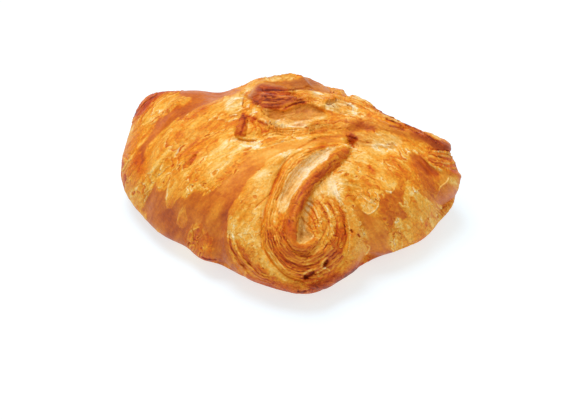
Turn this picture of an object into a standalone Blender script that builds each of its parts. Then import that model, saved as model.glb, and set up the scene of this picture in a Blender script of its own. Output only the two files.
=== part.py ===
"""A quark pastry as one closed solid: a cushion of flaky dough whose corners are folded in over its middle.

The front corner is folded into a low swirl, a seam runs back from it between two rounded lobes, and a raised
crest with an open pocket lies behind. Sizes are in millimetres until the mesh is made. The folds are curves
drawn on a plane that faces the front of the pastry, 40 degrees above the table, and they raise or sink the
surface behind them. The rear folds are drawn the same way on a plane that faces the back.
"""

import bpy
import numpy as np

MM = 0.001

# The cushion before it is folded: the distance from its middle to each side, by the direction the side faces
SIDES = {230: 49.0, 168: 68.5, 95: 48.0, 50: 48.0, -14: 71.0, -57: 51.0}
CORNER_SHARPNESS = 6.0
EDGE_ROUNDNESS = 2.7
CROWN_HEIGHT = 29.5
BELLY_DEPTH = 14.0
SOLE_CUT = 1.5

# The mesh: squares along each edge of the ball it starts as, the ball's radii, and how far its points
# gather in front
SQUARES = 31
BALL_RADII = (60.0, 50.0, 32.0)
FRONT_PULL = 0.5

# The drawing planes: the point they look at, and the distance they look from
DRAWING_CENTRE = np.array([-2.0, -14.0, 13.5])
DRAWING_DISTANCE = 700.0
FRONT_VIEW = (0, 40)
REAR_VIEW = (180, 30)

# Ridges laid out from above: path, rise, width on the left, width on the right, fade at the start and at
# the end
PLAN_FOLDS = {
    "crest": (((-20, 36), (-10, 40), (0, 42), (10, 40), (19, 34)), 1.8, 5.0, 6.0, 0.2, 0.4),
    "saddle": (((-26, 22), (-28, 36), (-30, 50)), -2.0, 7.0, 7.0, 0.3, 0.0),
    "rear corner": (((0, 30), (2, 44), (4, 56)), 1.6, 12.0, 12.0, 0.3, 0.0),
}

# Broad swellings seen from the front: centre, rise, radii, turn in degrees
SWELLINGS = {
    "nose": ((10.0, -23.0), 2.8, (10, 13), 15),
    "right lobe": ((45.0, 7.0), 1.8, (15, 11), -35),
    "left corner": ((-51.0, 40.5), 3.8, (9, 7), 30),
    "left edge": ((-66.0, 27.0), -2.2, (4, 10), -15),
    "right end": ((63.0, 10.5), 1.6, (5, 9), 10),
    "right tip": ((63.0, 23.0), 0.8, (4, 2.5), -20),
    "end of the crest": ((19.5, 47.0), -1.4, (4, 3), 0),
    "behind the right rim": ((26.5, 45.0), 1.6, (4.5, 3), -20),
    "right of the nose": ((20.0, -29.0), -1.5, (5, 4), 30),
    "foot of the furrow": ((34.0, -20.0), -1.4, (6, 4), 25),
    "under the right end": ((66.0, -1.5), -5.0, (8, 7), -30),
    "behind the right lobe": ((43.5, 36.5), -1.2, (10, 6), -25),
    "left foot": ((-30.5, -16.5), 1.8, (6, 4), 0),
    "far left foot": ((-46.0, -8.0), 1.6, (9, 5), -35),
    "right foot": ((50.0, -10.5), 1.0, (8, 7), 35),
    "nose corner, left": ((-5.0, -31.5), -2.8, (9, 4), -15),
    "blister by the tip": ((-20.0, 38.8), 1.5, (3.2, 4.5), -15),
    "hole at the seam": ((25.0, 26.2), -3.0, (1.8, 2.4), 20),
}

# Folds of the swirl, from its outer edge inward
SWIRL_FOLDS = {
    "outer edge": (
        ((23, 26.5), (7, 22.7), (-6.5, 14.6), (-17, 1.5), (-23, -9), (-20, -19), (-11, -27)),
        1.7, 5.0, 1.1, 0.15, 0.1),
    "crease": (((20, 27), (7, 23.5), (-2, 16.5), (-7, 3), (-9, -10), (-3, -22)), -1.2, 1.0, 1.0, 0.1, 0.2),
    "inner band": (((13, 22), (0, 12.5), (-5, 2), (-6, -9), (-3, -16)), 0.9, 1.2, 2.0, 0.1, 0.2),
    "recess": (((19, 23.5), (11, 19), (5, 13), (1, 7), (-2, 1)), -2.8, 1.9, 1.8, 0.15, 0.2),
    "ridge": (
        ((26, 25), (15, 14), (7.5, 4), (3.5, -6), (4, -12), (8, -15), (15, -11)),
        2.4, 1.9, 2.1, 0.05, 0.2),
    "ridge flank": (
        ((23, 23.5), (11.5, 14), (3.5, 4.6), (-0.5, -5), (0.5, -13.5), (8, -18.5), (17.5, -13)),
        1.4, 1.4, 1.4, 0.1, 0.1),
    "pocket": (((10.4, 5.4), (9, 0), (8, -5.5), (7.3, -11)), -4.0, 2.6, 1.6, 0.2, 0.12),
    "lower ring": (((-5.5, -10), (-3, -18.5), (4, -24), (12, -22), (17.5, -13)), 1.0, 1.4, 1.0, 0.1, 0.15),
    "gap under the ring": (
        ((-7.7, -15), (-2, -23), (6, -27), (14.5, -23), (21, -13.5)), -0.9, 1.1, 1.2, 0.15, 0.3),
    "lower lip": (((-12, -20), (-4, -27), (6, -30.5), (18, -26), (29, -15)), 0.8, 1.4, 2.0, 0.1, 0.1),
    "right side": (((18, 11.5), (24, 3), (26.5, -8), (21, -21)), 1.2, 2.2, 2.0, 0.2, 0.2),
}

# Folds of the two lobes and the furrows between them and the swirl
LOBE_FOLDS = {
    "right furrow": (((23, 14.6), (30, 4), (32.7, -7), (31.5, -19), (27, -29)), -2.8, 3.6, 2.6, 0.2, 0.0),
    "left furrow": (((-20, 2), (-26, -9), (-25, -19), (-20, -26)), -1.4, 1.5, 3.0, 0.3, 0.0),
    "far left crease": (
        ((-15, 46.5), (-33, 42.5), (-46, 33.5), (-53.5, 22), (-54.5, 8)), -1.9, 2.4, 2.8, 0.0, 0.2),
    "second left crease": (((-27, 30), (-38.5, 22), (-50, 11.5), (-54, 0)), -0.9, 2.0, 2.2, 0.2, 0.0),
    "far left roll": (((-22, 41), (-37, 30), (-49, 17), (-51, 9.5)), 1.0, 3.0, 3.4, 0.2, 0.2),
    "left roll": (((-13.5, 23), (-31, 13.5), (-44, -2)), 0.8, 4.0, 4.0, 0.3, 0.2),
    "band beside the swirl": (((21, 26), (-2, 19), (-19, 2), (-26, -8.5)), 0.9, 2.2, 4.0, 0.3, 0.2),
    "trough of the seam": (((26, 25.4), (35, 25), (45, 25.8)), -2.0, 1.4, 2.2, 0.0, 0.5),
    "right end groove": (((47, 23), (53, 19), (59.5, 11.5)), -1.2, 1.5, 1.3, 0.3, 0.3),
    "right end ridge": (((52.7, 21.2), (60, 16), (66.5, 13)), 1.0, 1.1, 1.1, 0.3, 0.0),
    "right foot slot": (((42, -16.2), (46, -15), (51, -12.7)), -1.2, 0.9, 0.9, 0.2, 0.2),
}

# The ridge behind the lobes, the pocket behind it, and the crest at the back
CREST_FOLDS = {
    "seam ridge, right": (
        ((21, 31), (28, 33.5), (40, 30.5), (52, 27.3), (64, 22.7)), 2.6, 2.4, 1.6, 0.3, 0.05),
    "seam ridge, left": (((27, 33), (10, 30.8), (-4, 31.2), (-13.5, 33)), 1.7, 1.4, 1.5, 0.25, 0.15),
    "pocket": (((-7.3, 37.3), (0, 35.4), (8, 36.2), (14.2, 37.3)), -4.4, 2.4, 2.2, 0.15, 0.35),
    "crest face": (((-10.4, 43), (0, 41.2), (11.5, 41.2), (23, 35.8)), 2.2, 1.8, 1.5, 0.1, 0.3),
    "crest groove": (((-10, 46.5), (-2, 45), (6.5, 46.2), (13.8, 45.4)), -1.3, 0.9, 0.9, 0.1, 0.3),
    "right pocket": (((15.8, 40), (21, 38), (27.3, 37.3)), -1.8, 1.2, 1.2, 0.3, 0.3),
    "right rim": (((15.4, 44.6), (29.6, 40.8), (36.5, 36), (52.7, 28.5)), 1.2, 1.3, 1.6, 0.2, 0.2),
    "right rim groove": (((26, 39), (40.4, 32.3), (55, 27.7)), -1.4, 1.0, 1.0, 0.2, 0.2),
    "small tip": (((-18.8, 28.8), (-16.5, 32.3), (-15.4, 35.8)), 2.0, 1.8, 1.6, 0.2, 0.2),
    "lip of the small tip": (((-19.2, 28.8), (-12, 29), (-5.8, 30.4)), 1.5, 1.6, 1.2, 0.1, 0.4),
    "gap under the small tip": (((-20, 27.3), (-15, 26.5), (-10, 26.5)), -1.2, 0.9, 0.9, 0.2, 0.3),
}

# Folds of the back, drawn on the rear plane
REAR_FOLDS = {
    "rear flap": (((-6, 26), (-17, 14), (-22, -1), (-17, -14)), 1.6, 1.2, 5.0, 0.2, 0.2),
    "rear flap, other side": (((-4, 26), (10, 16), (20, 2), (22, -13)), 1.4, 4.0, 1.3, 0.2, 0.2),
    "rear furrow": (((-9, 24), (-21, 12), (-27, -3), (-23, -18)), -1.7, 1.4, 2.4, 0.2, 0.0),
    "rear middle": (((-5, 22), (-6, 10), (-1, 0), (7, -2)), -1.6, 1.6, 1.6, 0.2, 0.3),
    "rear inner ridge": (((-9, 18), (-11, 5), (-4, -6), (8, -8)), 1.3, 1.6, 1.6, 0.2, 0.3),
    "rear side roll": (((30, 26), (42, 16), (48, 2)), 1.2, 3.5, 3.5, 0.3, 0.2),
    "rear side crease": (((-30, 27), (-42, 20), (-51, 8)), -1.4, 2.0, 2.4, 0.3, 0.2),
}


def smoothstep(low, high, x):
    t = np.clip((x - low) / (high - low), 0, 1)
    return t * t * (3 - 2 * t)


def view_axes(azimuth, elevation):
    """The right, up and eye directions of a view of the pastry."""
    a, e = np.radians(azimuth), np.radians(elevation)
    eye = np.array([np.sin(a) * np.cos(e), -np.cos(a) * np.cos(e), np.sin(e)])
    right = np.array([np.cos(a), np.sin(a), 0.0])
    return right, np.cross(eye, right), eye


def drawn(points, axes):
    """Where the points fall on the drawing plane of a view."""
    right, up, eye = axes
    offset = points - DRAWING_CENTRE
    scale = DRAWING_DISTANCE / (DRAWING_DISTANCE - offset @ eye)
    return (offset @ right) * scale, (offset @ up) * scale


def smooth_path(path, steps=8):
    """A smooth curve through the points of the path."""
    p = np.array(path, float)
    p = np.vstack([2 * p[0] - p[1], p, 2 * p[-1] - p[-2]])
    t = np.linspace(0, 1, steps, endpoint=False)[:, None]
    spans = []
    for a, b, c, d in zip(p, p[1:], p[2:], p[3:]):
        bend = (2 * a - 5 * b + 4 * c - d) * t**2 + (3 * b - a - 3 * c + d) * t**3
        spans.append(b + 0.5 * ((c - a) * t + bend))
    return np.vstack(spans + [p[-2:-1]])


def beside(path, x, y):
    """The distance of each point from the path, positive on its left, and how far along the path it lies."""
    starts, runs = path[:-1], np.diff(path, axis=0)
    lengths = np.hypot(*runs.T)
    travelled = np.concatenate([[0], np.cumsum(lengths)])
    distance = np.full(x.shape, 1e9)
    side, along = np.ones(x.shape), np.zeros(x.shape)
    for (x0, y0), (run_x, run_y), length, before in zip(starts, runs, lengths, travelled):
        dx, dy = x - x0, y - y0
        t = np.clip((dx * run_x + dy * run_y) / length**2, 0, 1)
        dx, dy = dx - t * run_x, dy - t * run_y
        gap = np.hypot(dx, dy)
        nearer = gap < distance
        distance = np.where(nearer, gap, distance)
        side = np.where(nearer, np.where(run_x * dy < run_y * dx, -1, 1), side)
        along = np.where(nearer, (before + t * length) / travelled[-1], along)
    return distance * side, along


def fold_height(fold, x, y):
    """How far one fold lifts the surface at x, y of its plane."""
    path, rise, left, right, fade_in, fade_out = fold
    distance, along = beside(smooth_path(path), x, y)
    width = np.where(distance > 0, left, right)
    fade = smoothstep(0, fade_in, along) if fade_in else 1.0
    if fade_out:
        fade = fade * smoothstep(0, fade_out, 1 - along)
    return rise * fade * np.exp(-((distance / width) ** 2))


def swelling_height(swelling, x, y):
    (centre_x, centre_y), rise, (radius_a, radius_b), turn = swelling
    dx, dy = x - centre_x, y - centre_y
    t = np.radians(turn)
    a = (dx * np.cos(t) + dy * np.sin(t)) / radius_a
    b = (dy * np.cos(t) - dx * np.sin(t)) / radius_b
    return rise * np.exp(-(a**2 + b**2))


def ball(squares):
    """A unit ball of six curved grids: its points, and its four-sided faces."""
    points, faces = [], []
    ticks = np.tan(np.linspace(-1, 1, squares + 1) * np.pi / 4)
    row, column = np.meshgrid(np.arange(squares), np.arange(squares), indexing="ij")
    corner = (row * (squares + 1) + column).ravel()
    across = squares + 1
    for axis in range(3):
        for sign in (-1, 1):
            grid = np.zeros((across, across, 3))
            grid[..., axis] = sign
            grid[..., (axis + 1) % 3] = ticks[:, None]
            grid[..., (axis + 2) % 3] = ticks[None, :]
            first = corner + len(points) * across**2
            face = np.stack([first, first + across, first + across + 1, first + 1], 1)
            faces.append(face if sign > 0 else face[:, ::-1])
            points.append(grid.reshape(-1, 3))
    points, faces = np.vstack(points), np.vstack(faces)
    _, kept, merged = np.unique(np.round(points, 7), axis=0, return_index=True, return_inverse=True)
    points = points[kept]
    return points / np.linalg.norm(points, axis=1)[:, None], merged.reshape(-1)[faces]


def cushion(directions):
    """The plain cushion: each direction from its middle is followed out to its skin."""
    skin = directions * BALL_RADII
    plan = np.zeros(len(skin))
    for azimuth, distance in SIDES.items():
        a = np.radians(azimuth)
        reach = (skin[:, 0] * np.cos(a) + skin[:, 1] * np.sin(a)) / distance
        plan += np.maximum(reach, 0) ** CORNER_SHARPNESS
    height = np.where(skin[:, 2] > 0, CROWN_HEIGHT, BELLY_DEPTH)
    size = plan ** (EDGE_ROUNDNESS / CORNER_SHARPNESS) + np.abs(skin[:, 2] / height) ** EDGE_ROUNDNESS
    skin = skin * (size ** (-1 / EDGE_ROUNDNESS))[:, None]
    skin[:, 2] += BELLY_DEPTH
    return skin


def normals(points, faces):
    a, b, c, d = (points[faces[:, k]] for k in range(4))
    face_normals = np.cross(c - a, d - b)
    sums = np.zeros_like(points)
    for k in range(4):
        for axis in range(3):
            sums[:, axis] += np.bincount(faces[:, k], face_normals[:, axis], len(points))
    return sums / np.linalg.norm(sums, axis=1)[:, None]


def lifted(points, faces, lift_of, axes=None, facing_from=-0.15, facing_to=0.15):
    """The points moved out along their normals by lift_of(x, y), on the plane of axes or on the plan."""
    outward = normals(points, faces)
    if axes is None:
        x, y, facing = points[:, 0], points[:, 1], outward[:, 2]
    else:
        x, y = drawn(points, axes)
        facing = outward @ axes[2]
    lift = lift_of(x, y) * smoothstep(facing_from, facing_to, facing)
    return points + outward * lift[:, None]


def total(height, features):
    return lambda x, y: sum(height(feature, x, y) for feature in features)


def whole_pastry():
    """The points and faces of the whole pastry, in millimetres, with its flat sole at zero height."""
    front, rear = view_axes(*FRONT_VIEW), view_axes(*REAR_VIEW)
    directions, faces = ball(SQUARES)
    directions = directions + FRONT_PULL * front[2]
    directions /= np.linalg.norm(directions, axis=1)[:, None]
    points = cushion(directions)
    points = lifted(points, faces, total(fold_height, PLAN_FOLDS.values()), None, -0.2, 0.4)
    points = lifted(points, faces, total(swelling_height, SWELLINGS.values()), front, -0.35, 0.1)
    drawn_folds = [*SWIRL_FOLDS.values(), *LOBE_FOLDS.values(), *CREST_FOLDS.values()]
    points = lifted(points, faces, total(fold_height, drawn_folds), front)
    points = lifted(points, faces, total(fold_height, REAR_FOLDS.values()), rear, 0.1, 0.5)
    points[:, 2] = np.maximum(points[:, 2], SOLE_CUT) - SOLE_CUT
    return points, faces


def crust_material():
    material = bpy.data.materials.new("crust")
    material.use_nodes = True
    surface = material.node_tree.nodes["Principled BSDF"]
    surface.inputs["Base Color"].default_value = (0.72, 0.36, 0.10, 1.0)
    surface.inputs["Roughness"].default_value = 0.55
    return material


def main():
    for old in list(bpy.data.objects):
        bpy.data.objects.remove(old)
    points, faces = whole_pastry()
    low, high = points.min(axis=0), points.max(axis=0)
    points = points - [(low[0] + high[0]) / 2, (low[1] + high[1]) / 2, low[2]]
    mesh = bpy.data.meshes.new("pastry")
    mesh.from_pydata((points * MM).tolist(), [], faces.tolist())
    mesh.materials.append(crust_material())
    bpy.context.scene.collection.objects.link(bpy.data.objects.new("pastry", mesh))


if __name__ == "__main__":
    main()
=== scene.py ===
"""The looks of the quark pastry: its flaky crust, the light, the floor and the camera.

The crust is a fine mesh in six panels that takes the place of the plain solid. It is the same folded
cushion, with more and finer folds, then flaky layers, and a colour worked out for every point. Sizes are in
millimetres in the drawing frame until the mesh is made. Folds and patches of colour are drawn on a plane that
faces the front of the pastry, and the folds of the back on one that faces the back.
"""

from collections import namedtuple

import bpy
import numpy as np
from mathutils import Matrix, Vector


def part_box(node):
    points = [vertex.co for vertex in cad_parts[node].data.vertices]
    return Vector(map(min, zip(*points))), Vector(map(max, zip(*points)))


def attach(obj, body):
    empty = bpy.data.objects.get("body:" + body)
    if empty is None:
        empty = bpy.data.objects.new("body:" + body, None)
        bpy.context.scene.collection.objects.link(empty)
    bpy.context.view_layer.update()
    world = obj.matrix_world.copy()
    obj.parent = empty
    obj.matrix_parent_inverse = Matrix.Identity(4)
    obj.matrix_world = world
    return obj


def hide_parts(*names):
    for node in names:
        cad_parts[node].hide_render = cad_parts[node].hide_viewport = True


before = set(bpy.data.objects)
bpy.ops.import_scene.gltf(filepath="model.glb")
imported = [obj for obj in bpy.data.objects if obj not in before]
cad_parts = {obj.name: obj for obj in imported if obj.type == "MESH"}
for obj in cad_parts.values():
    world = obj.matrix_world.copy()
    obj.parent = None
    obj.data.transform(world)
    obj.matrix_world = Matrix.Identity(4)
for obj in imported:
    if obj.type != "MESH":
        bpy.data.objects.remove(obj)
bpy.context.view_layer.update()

# A millimetre, in metres
MM = 0.001

# The cushion before it is folded: the distance from its middle to each side, by the direction it faces in
# degrees
SIDES = {230: 49.0, 168: 68.5, 95: 48.0, 50: 48.0, -14: 71.0, -57: 51.0}
CORNER_SHARPNESS = 6.0
EDGE_ROUNDNESS = 2.7
CROWN_HEIGHT = 29.5
BELLY_DEPTH = 14.0
# What the flat sole takes off the bottom
SOLE_CUT = 1.5

# The mesh: squares along each edge of the ball it starts as, the ball's radii, and how far its points
# gather in front
SQUARES = 280
BALL_RADII = (60.0, 50.0, 32.0)
FRONT_PULL = 0.5

# The panels of the crust, one to each side of the ball
PANELS = ("crust_left", "crust_right", "crust_front", "crust_back", "crust_sole", "crust_top")

# The drawing planes: the point they look at, the distance they look from, and the turn and height of each
# view
DRAWING_CENTRE = np.array([-2.0, -14.0, 13.5])
DRAWING_DISTANCE = 700.0
FRONT_VIEW = (0, 40)
REAR_VIEW = (180, 30)

# Ridges laid out from above: path, rise, width on the left and on the right, fade at the start and at the
# end
PLAN_FOLDS = {
    "crest": (((-20, 36), (-10, 40), (0, 42), (10, 40), (19, 34)), 1.8, 5.0, 6.0, 0.2, 0.4),
    "saddle": (((-26, 22), (-28, 36), (-30, 50)), -2.0, 7.0, 7.0, 0.3, 0.0),
    "rear corner": (((0, 30), (2, 44), (4, 56)), 1.6, 12.0, 12.0, 0.3, 0.0),
}

# Broad swellings seen from the front: centre, rise, radii, turn in degrees
SWELLINGS = {
    "nose": ((10.0, -23.0), 2.8, (10, 13), 15),
    "right lobe": ((45.0, 7.0), 1.8, (15, 11), -35),
    "left corner": ((-51.0, 40.5), 3.8, (9, 7), 30),
    "left edge": ((-66.0, 27.0), -2.2, (4, 10), -15),
    "right end": ((63.0, 10.5), 1.6, (5, 9), 10),
    "right tip": ((63.0, 23.0), 0.8, (4, 2.5), -20),
    "end of the crest": ((19.5, 47.0), -1.4, (4, 3), 0),
    "behind the right rim": ((26.5, 45.0), 1.6, (4.5, 3), -20),
    "right of the nose": ((20.0, -29.0), -1.5, (5, 4), 30),
    "foot of the furrow": ((34.0, -20.0), -1.4, (6, 4), 25),
    "under the right end": ((66.0, -1.5), -5.0, (8, 7), -30),
    "behind the right lobe": ((43.5, 36.5), -1.2, (10, 6), -25),
    "left foot": ((-30.5, -16.5), 1.8, (6, 4), 0),
    "far left foot": ((-46.0, -8.0), 1.6, (9, 5), -35),
    "right foot": ((50.0, -10.5), 1.0, (8, 7), 35),
    "nose corner, left": ((-5.0, -31.5), -2.8, (9, 4), -15),
    "blister by the tip": ((-20.0, 38.8), 1.5, (3.2, 4.5), -15),
    "hole at the seam": ((25.0, 26.2), -3.0, (1.8, 2.4), 20),
    "between the seam ridges": ((25.0, 32.4), 1.2, (4.0, 1.7), 12),
}

# Folds of the swirl, from its outer edge inward
SWIRL_FOLDS = {
    "outer edge": (
        ((23, 26.5), (7, 22.5), (-6.5, 14.5), (-12.5, 7), (-19, -2), (-22.5, -9.5), (-21, -17.5),
         (-16, -25)), 1.7, 5.0, 0.7, 0.15, 0.1),
    "crease": (
        ((21, 26), (15.5, 24.5), (3.5, 21), (-1, 16), (-5, 7), (-9, -6), (-8, -15.5),
         (-3, -22.5)), -0.8, 0.8, 0.8, 0.1, 0.2),
    "inner band": (((13, 22), (0, 12.5), (-5, 2), (-6, -9), (-3, -16)), 0.9, 1.0, 2.0, 0.1, 0.2),
    "recess": (((19, 23.5), (11, 19), (5, 13), (1, 7.5), (-1.5, 1.5)), -2.2, 1.7, 1.5, 0.15, 0.2),
    "ridge": (
        ((26, 25), (15.5, 16.5), (8, 7.5), (4, 0), (3, -7), (4, -12), (8, -14),
         (15, -11)), 2.6, 1.7, 2.0, 0.05, 0.2),
    "ridge flank": (
        ((23, 23.5), (11.5, 14), (3.5, 4.5), (-0.5, -5), (0.5, -13.5), (8, -18.5),
         (17.5, -13)), 1.4, 1.2, 1.4, 0.1, 0.1),
    "ridge split": (((14, 16), (8.5, 10), (5, 5), (2.5, -1), (1.5, -6)), -0.9, 0.5, 0.5, 0.15, 0.2),
    "pocket": (((10.5, 5.5), (9, 0), (8, -5.5), (7.5, -11)), -2.4, 2.0, 1.5, 0.2, 0.12),
    "lower ring": (((-5.5, -10), (-3, -18.5), (4, -24), (12, -22), (17.5, -13)), 1.0, 1.4, 0.8, 0.1, 0.15),
    "gap under the ring": (
        ((-7.5, -15), (-2, -23), (6, -27), (14.5, -23), (21, -13.5)), -0.8, 0.9, 1.1, 0.15, 0.3),
    "lower lip": (((-12, -20), (-4, -27), (6, -30.5), (18, -26), (29, -15)), 0.8, 1.4, 2.0, 0.1, 0.1),
    "right side": (((18, 11.5), (24, 3), (26.5, -8), (21, -21)), 1.2, 2.2, 2.0, 0.2, 0.2),
}

# Folds of the two lobes and the furrows between them and the swirl
LOBE_FOLDS = {
    "right furrow": (((23, 14.6), (30, 4), (32.7, -7), (31.5, -19), (27, -29)), -2.8, 3.6, 2.6, 0.2, 0.0),
    "left furrow": (((-20, 2), (-26, -9), (-25, -19), (-20, -26)), -1.4, 1.5, 3.0, 0.3, 0.0),
    "far left crease": (
        ((-15, 46.5), (-33, 42.5), (-46, 33.5), (-53.5, 22), (-54.5, 8)), -1.9, 2.4, 2.8, 0.0, 0.2),
    "second left crease": (((-27, 30), (-38.5, 22), (-50, 11.5), (-54, 0)), -0.9, 2.0, 2.2, 0.2, 0.0),
    "far left roll": (((-22, 41), (-37, 30), (-49, 17), (-51, 9.5)), 1.0, 3.0, 3.4, 0.2, 0.2),
    "left roll": (((-13.5, 23), (-31, 13.5), (-44, -2)), 0.8, 4.0, 4.0, 0.3, 0.2),
    "band beside the swirl": (((21, 26), (-2, 19), (-19, 2), (-26, -8.5)), 0.9, 2.2, 4.0, 0.3, 0.2),
    "trough of the seam": (((26, 25.4), (35, 25), (45, 25.8)), -2.0, 1.4, 2.2, 0.0, 0.5),
    "right end groove": (((47, 23), (53, 19), (59.5, 11.5)), -1.2, 1.5, 1.3, 0.3, 0.3),
    "right end ridge": (((52.7, 21.2), (60, 16), (66.5, 13)), 1.0, 0.9, 1.1, 0.3, 0.0),
    "right foot slot": (((42, -16.2), (46, -15), (51, -12.7)), -1.2, 0.8, 0.8, 0.2, 0.2),
}

# The ridge behind the lobes, the pocket behind it, and the crest at the back
CREST_FOLDS = {
    "seam ridge, right": (
        ((21, 31), (28, 33.5), (40, 30.5), (52, 27.3), (64, 22.7)), 2.6, 2.4, 1.6, 0.3, 0.05),
    "seam ridge, left": (((27, 33), (10, 30.8), (-4, 31.2), (-13.5, 33)), 1.7, 1.4, 1.5, 0.25, 0.15),
    "pocket": (((-7.3, 37.3), (0, 35.4), (8, 36.2), (14.2, 37.3)), -4.4, 2.4, 2.2, 0.15, 0.35),
    "crest face": (((-10.4, 43), (0, 41.2), (11.5, 41.2), (23, 35.8)), 2.2, 1.8, 1.5, 0.1, 0.3),
    "crest groove": (((-10, 46.5), (-2, 45), (6.5, 46.2), (13.8, 45.4)), -1.3, 0.7, 0.7, 0.1, 0.3),
    "right pocket": (((15.8, 40), (21, 38), (27.3, 37.3)), -1.8, 1.2, 1.2, 0.3, 0.3),
    "right rim": (((15.4, 44.6), (29.6, 40.8), (36.5, 36), (52.7, 28.5)), 1.2, 1.3, 1.6, 0.2, 0.2),
    "right rim groove": (((26, 39), (40.4, 32.3), (55, 27.7)), -1.4, 0.8, 0.8, 0.2, 0.2),
    "small tip": (((-18.8, 28.8), (-16.5, 32.3), (-15.4, 35.8)), 2.0, 1.8, 1.6, 0.2, 0.2),
    "lip of the small tip": (((-19.2, 28.8), (-12, 29), (-5.8, 30.4)), 1.5, 1.6, 0.9, 0.1, 0.4),
    "gap under the small tip": (((-20, 27.3), (-15, 26.5), (-10, 26.5)), -1.2, 0.7, 0.7, 0.2, 0.3),
}

# Folds of the back, drawn on the rear plane
REAR_FOLDS = {
    "rear flap": (((-6, 26), (-17, 14), (-22, -1), (-17, -14)), 1.6, 1.2, 5.0, 0.2, 0.2),
    "rear flap, other side": (((-4, 26), (10, 16), (20, 2), (22, -13)), 1.4, 4.0, 1.3, 0.2, 0.2),
    "rear furrow": (((-9, 24), (-21, 12), (-27, -3), (-23, -18)), -1.7, 1.4, 2.4, 0.2, 0.0),
    "rear middle": (((-5, 22), (-6, 10), (-1, 0), (7, -2)), -1.6, 1.6, 1.6, 0.2, 0.3),
    "rear inner ridge": (((-9, 18), (-11, 5), (-4, -6), (8, -8)), 1.3, 1.6, 1.6, 0.2, 0.3),
    "rear side roll": (((30, 26), (42, 16), (48, 2)), 1.2, 3.5, 3.5, 0.3, 0.2),
    "rear side crease": (((-30, 27), (-42, 20), (-51, 8)), -1.4, 2.0, 2.4, 0.3, 0.2),
}

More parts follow.
